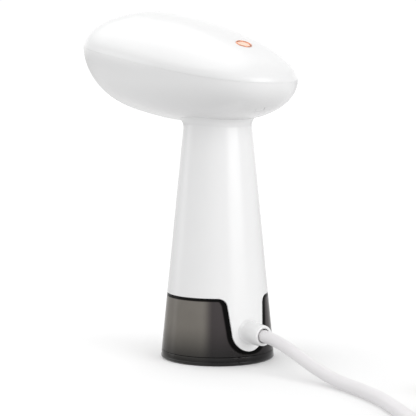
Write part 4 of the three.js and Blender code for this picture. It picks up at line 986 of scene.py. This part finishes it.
def dress_frame():
    slots = {part["node"]: part["material_slot"] for part in frame["record"]["subparts"]}
    smoke = smoke_plastic("smoke_plain", edge=False)
    for name, obj in frame["nodes"].items():
        material = MATERIALS.get(slots[name], smoke)
        for index in range(max(len(obj.material_slots), 1)):
            if obj.material_slots:
                obj.material_slots[index].material = material
            else:
                obj.data.materials.append(material)


def place(obj, body, slot, nodes, material=None):
    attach(obj, body)
    if nodes:
        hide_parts(*nodes)
    dress(obj, material or MATERIALS[slot])
    return obj


# ---------- stage

FLOOR_GLOW = 0.085   # the floor's own light, which brings it to the white of the backdrop


def make_stage():
    """A plain pale floor, seen only by the camera's rays, so that the world lights the undersides."""
    mesh = bpy.data.meshes.new("floor")
    size = 12.0
    corners = [(-size, -size, 0), (size, -size, 0), (size, size, 0), (-size, size, 0)]
    mesh.from_pydata(corners, [], [(0, 1, 2, 3)])
    floor = bpy.data.objects.new("floor", mesh)
    bpy.context.scene.collection.objects.link(floor)
    material, tree, shader = new_material("floor_white")
    tint(tree, shader, spread(tree, noise(tree, 3, 2), 0, 1), (0.86, 0.86, 0.86), (0.88, 0.88, 0.88))
    shader.inputs["Roughness"].default_value = 0.9
    shader.inputs["Specular IOR Level"].default_value = 0.0
    shader.inputs["Emission Color"].default_value = (1, 1, 1, 1)
    shader.inputs["Emission Strength"].default_value = FLOOR_GLOW
    mesh.materials.append(material)
    floor.visible_diffuse = False
    floor.visible_glossy = False
    floor.visible_shadow = False


# the studio's brightness by elevation in degrees: a pale floor below, a bright wall from the horizon up
SKY = ((-90, 0.3), (-50, 0.7), (-20, 1.0), (-4, 0.42), (5, 0.96), (30, 0.45), (60, 0.48), (90, 0.4))
# round softboxes: azimuth and elevation of the middle, degrees to the edge's start and end, brightness
GLOWS = (
    (150, 62, 26, 48, 1.2),
    (215, 25, 20, 50, 0.35),
    (35, 35, 15, 40, 0.25),
    (143, 7, 3, 14, 0.7),
)
# the tall softbox: its azimuth, and degrees to its edge's end and start on both sides
STRIP_AZIMUTH, STRIP_OUTER, STRIP_INNER, STRIP_POWER = -16, 27, 12, 2.7
TOP_POWER = 0.3


def make_world():
    """A studio as the object sees it: graded wall and floor, round softboxes and one tall one."""
    world = bpy.data.worlds.new("studio")
    bpy.context.scene.world = world
    world.use_nodes = True
    tree = world.node_tree
    tree.nodes.clear()
    direction = node(tree, "ShaderNodeTexCoord").outputs["Generated"]
    up = along(tree, direction, (0, 0, 1))
    ramp = node(tree, "ShaderNodeValToRGB")
    elements = ramp.color_ramp.elements
    elements.remove(elements[1])
    for index, (elevation, value) in enumerate(SKY):
        position = (math.sin(math.radians(elevation)) + 1) / 2
        element = elements.new(position) if index else elements[0]
        element.position = position
        element.color = (value / 2, value / 2, value / 2, 1)
    height = arithmetic(tree, "MULTIPLY", arithmetic(tree, "ADD", up, 1.0), 0.5)
    tree.links.new(height, ramp.inputs["Fac"])
    base = arithmetic(tree, "MULTIPLY", ramp.outputs["Color"], 2.0)

    total = base
    for azimuth, elevation, inner, outer, power in GLOWS:
        near = along(tree, direction, compass(azimuth, elevation))
        glow = map_range(tree, near, math.cos(math.radians(outer)), math.cos(math.radians(inner)))
        total = arithmetic(tree, "ADD", total, arithmetic(tree, "MULTIPLY", glow, power))
    aside = arithmetic(tree, "ABSOLUTE", along(tree, direction, compass(STRIP_AZIMUTH + 90)))
    outer, inner = (math.sin(math.radians(angle)) for angle in (STRIP_OUTER, STRIP_INNER))
    strip = map_range(tree, aside, outer, inner)
    ahead = map_range(tree, along(tree, direction, compass(STRIP_AZIMUTH)), 0.0, 0.3)
    tall = arithmetic(tree, "MULTIPLY", map_range(tree, up, 0.0, 0.12), map_range(tree, up, 0.75, 0.5))
    strip = arithmetic(tree, "MULTIPLY", arithmetic(tree, "MULTIPLY", strip, ahead), tall)
    strip = arithmetic(tree, "MULTIPLY", strip, STRIP_POWER)
    total = arithmetic(tree, "ADD", total, strip)

    light = node(tree, "ShaderNodeBackground")
    seen = node(tree, "ShaderNodeBackground", Strength=1.3)
    path = node(tree, "ShaderNodeLightPath")
    mix = node(tree, "ShaderNodeMixShader")
    out = node(tree, "ShaderNodeOutputWorld")
    light.inputs["Color"].default_value = (1, 1, 1, 1)
    tree.links.new(total, light.inputs["Strength"])
    tree.links.new(path.outputs["Is Camera Ray"], mix.inputs["Fac"])
    tree.links.new(light.outputs["Background"], mix.inputs[1])
    tree.links.new(seen.outputs["Background"], mix.inputs[2])
    tree.links.new(mix.outputs["Shader"], out.inputs["Surface"])


def softbox(name, azimuth, elevation, distance, width, height, power, target=(0, 0, 130)):
    """A rectangular lamp, azimuth in degrees from +Y towards +X, that looks at target."""
    data = bpy.data.lights.new(name, "AREA")
    data.shape = "RECTANGLE"
    data.size, data.size_y = width * M, height * M
    data.energy = power
    lamp = bpy.data.objects.new(name, data)
    bpy.context.scene.collection.objects.link(lamp)
    out = Vector(compass(azimuth, elevation))
    lamp.location = (Vector(target) + out * distance) * M
    lamp.rotation_euler = (-out).to_track_quat("-Z", "Y").to_euler()
    lamp.visible_camera = False
    return lamp


def make_lights():
    softbox("top", 215, 68, 1200, 900, 700, TOP_POWER, (0, 0, 100))


# ---------- the object

def build():
    make_camera()
    cord, line = make_cord()
    place(cord, "steamer", "cord", ["power_cord", "cord_coil", "cord_tail"])
    plug, boot, pins = make_plug()
    place(plug, "steamer", "cord", ["plug_body"])
    place(boot, "steamer", "cord", ["plug_boot"])
    for pin, name in zip(pins, ("plug_pin_1", "plug_pin_2")):
        place(pin, "steamer", "brass", [name])
    tie = place(make_tie(), "steamer", "black_rubber", ["cord_tie"])

    neck_hole = cylinder_cutter(SPIGOT_RADIUS + GAP, 150, 172)
    screw_hole = cylinder_cutter(PLUG_RADIUS + 0.18, 160, 174, Matrix.Translation((0, SCREW_Y, 0)), 56)
    button_hole = cylinder_cutter(5.62, -6, 6, button_seat, 72)
    place(half_shell("head_top", True, [button_hole]), "steamer", "shell", ["upper_shell"])
    place(half_shell("head_bottom", False, [neck_hole, screw_hole]), "steamer", "shell", ["lower_shell"])
    place(make_screw_plug(), "steamer", "shell", ["screw_plug"])
    place(make_plate_frame(), "steamer", "shell", ["plate_frame"])
    place(make_plate(), "steamer", "plate", ["steam_plate"])
    bezel, cap = make_button()
    place(bezel, "steamer", "rose_metal", ["button_ring"])
    place(cap, "button", "button", ["power_button"])
    place(make_handle(), "steamer", "shell", ["handle_shell"])
    place(make_gland(), "steamer", "shell", ["cord_gland"])
    place(make_trigger(), "trigger", "inner_plastic", ["steam_trigger"])
    place(make_tank(), "tank", "smoke", ["tank_body"], smoke_plastic("smoke_tank"))
    foot_smoke = smoke_plastic("smoke_foot", edge=False, depth=0.8)
    place(make_tank_base(), "tank", "smoke", ["tank_base"], foot_smoke)


dress_frame()
build()
make_stage()
make_world()
make_lights()
scene = bpy.context.scene
scene.view_settings.view_transform = "Standard"
scene.view_settings.look = "None"
scene.view_settings.exposure = 0
scene.view_settings.gamma = 1
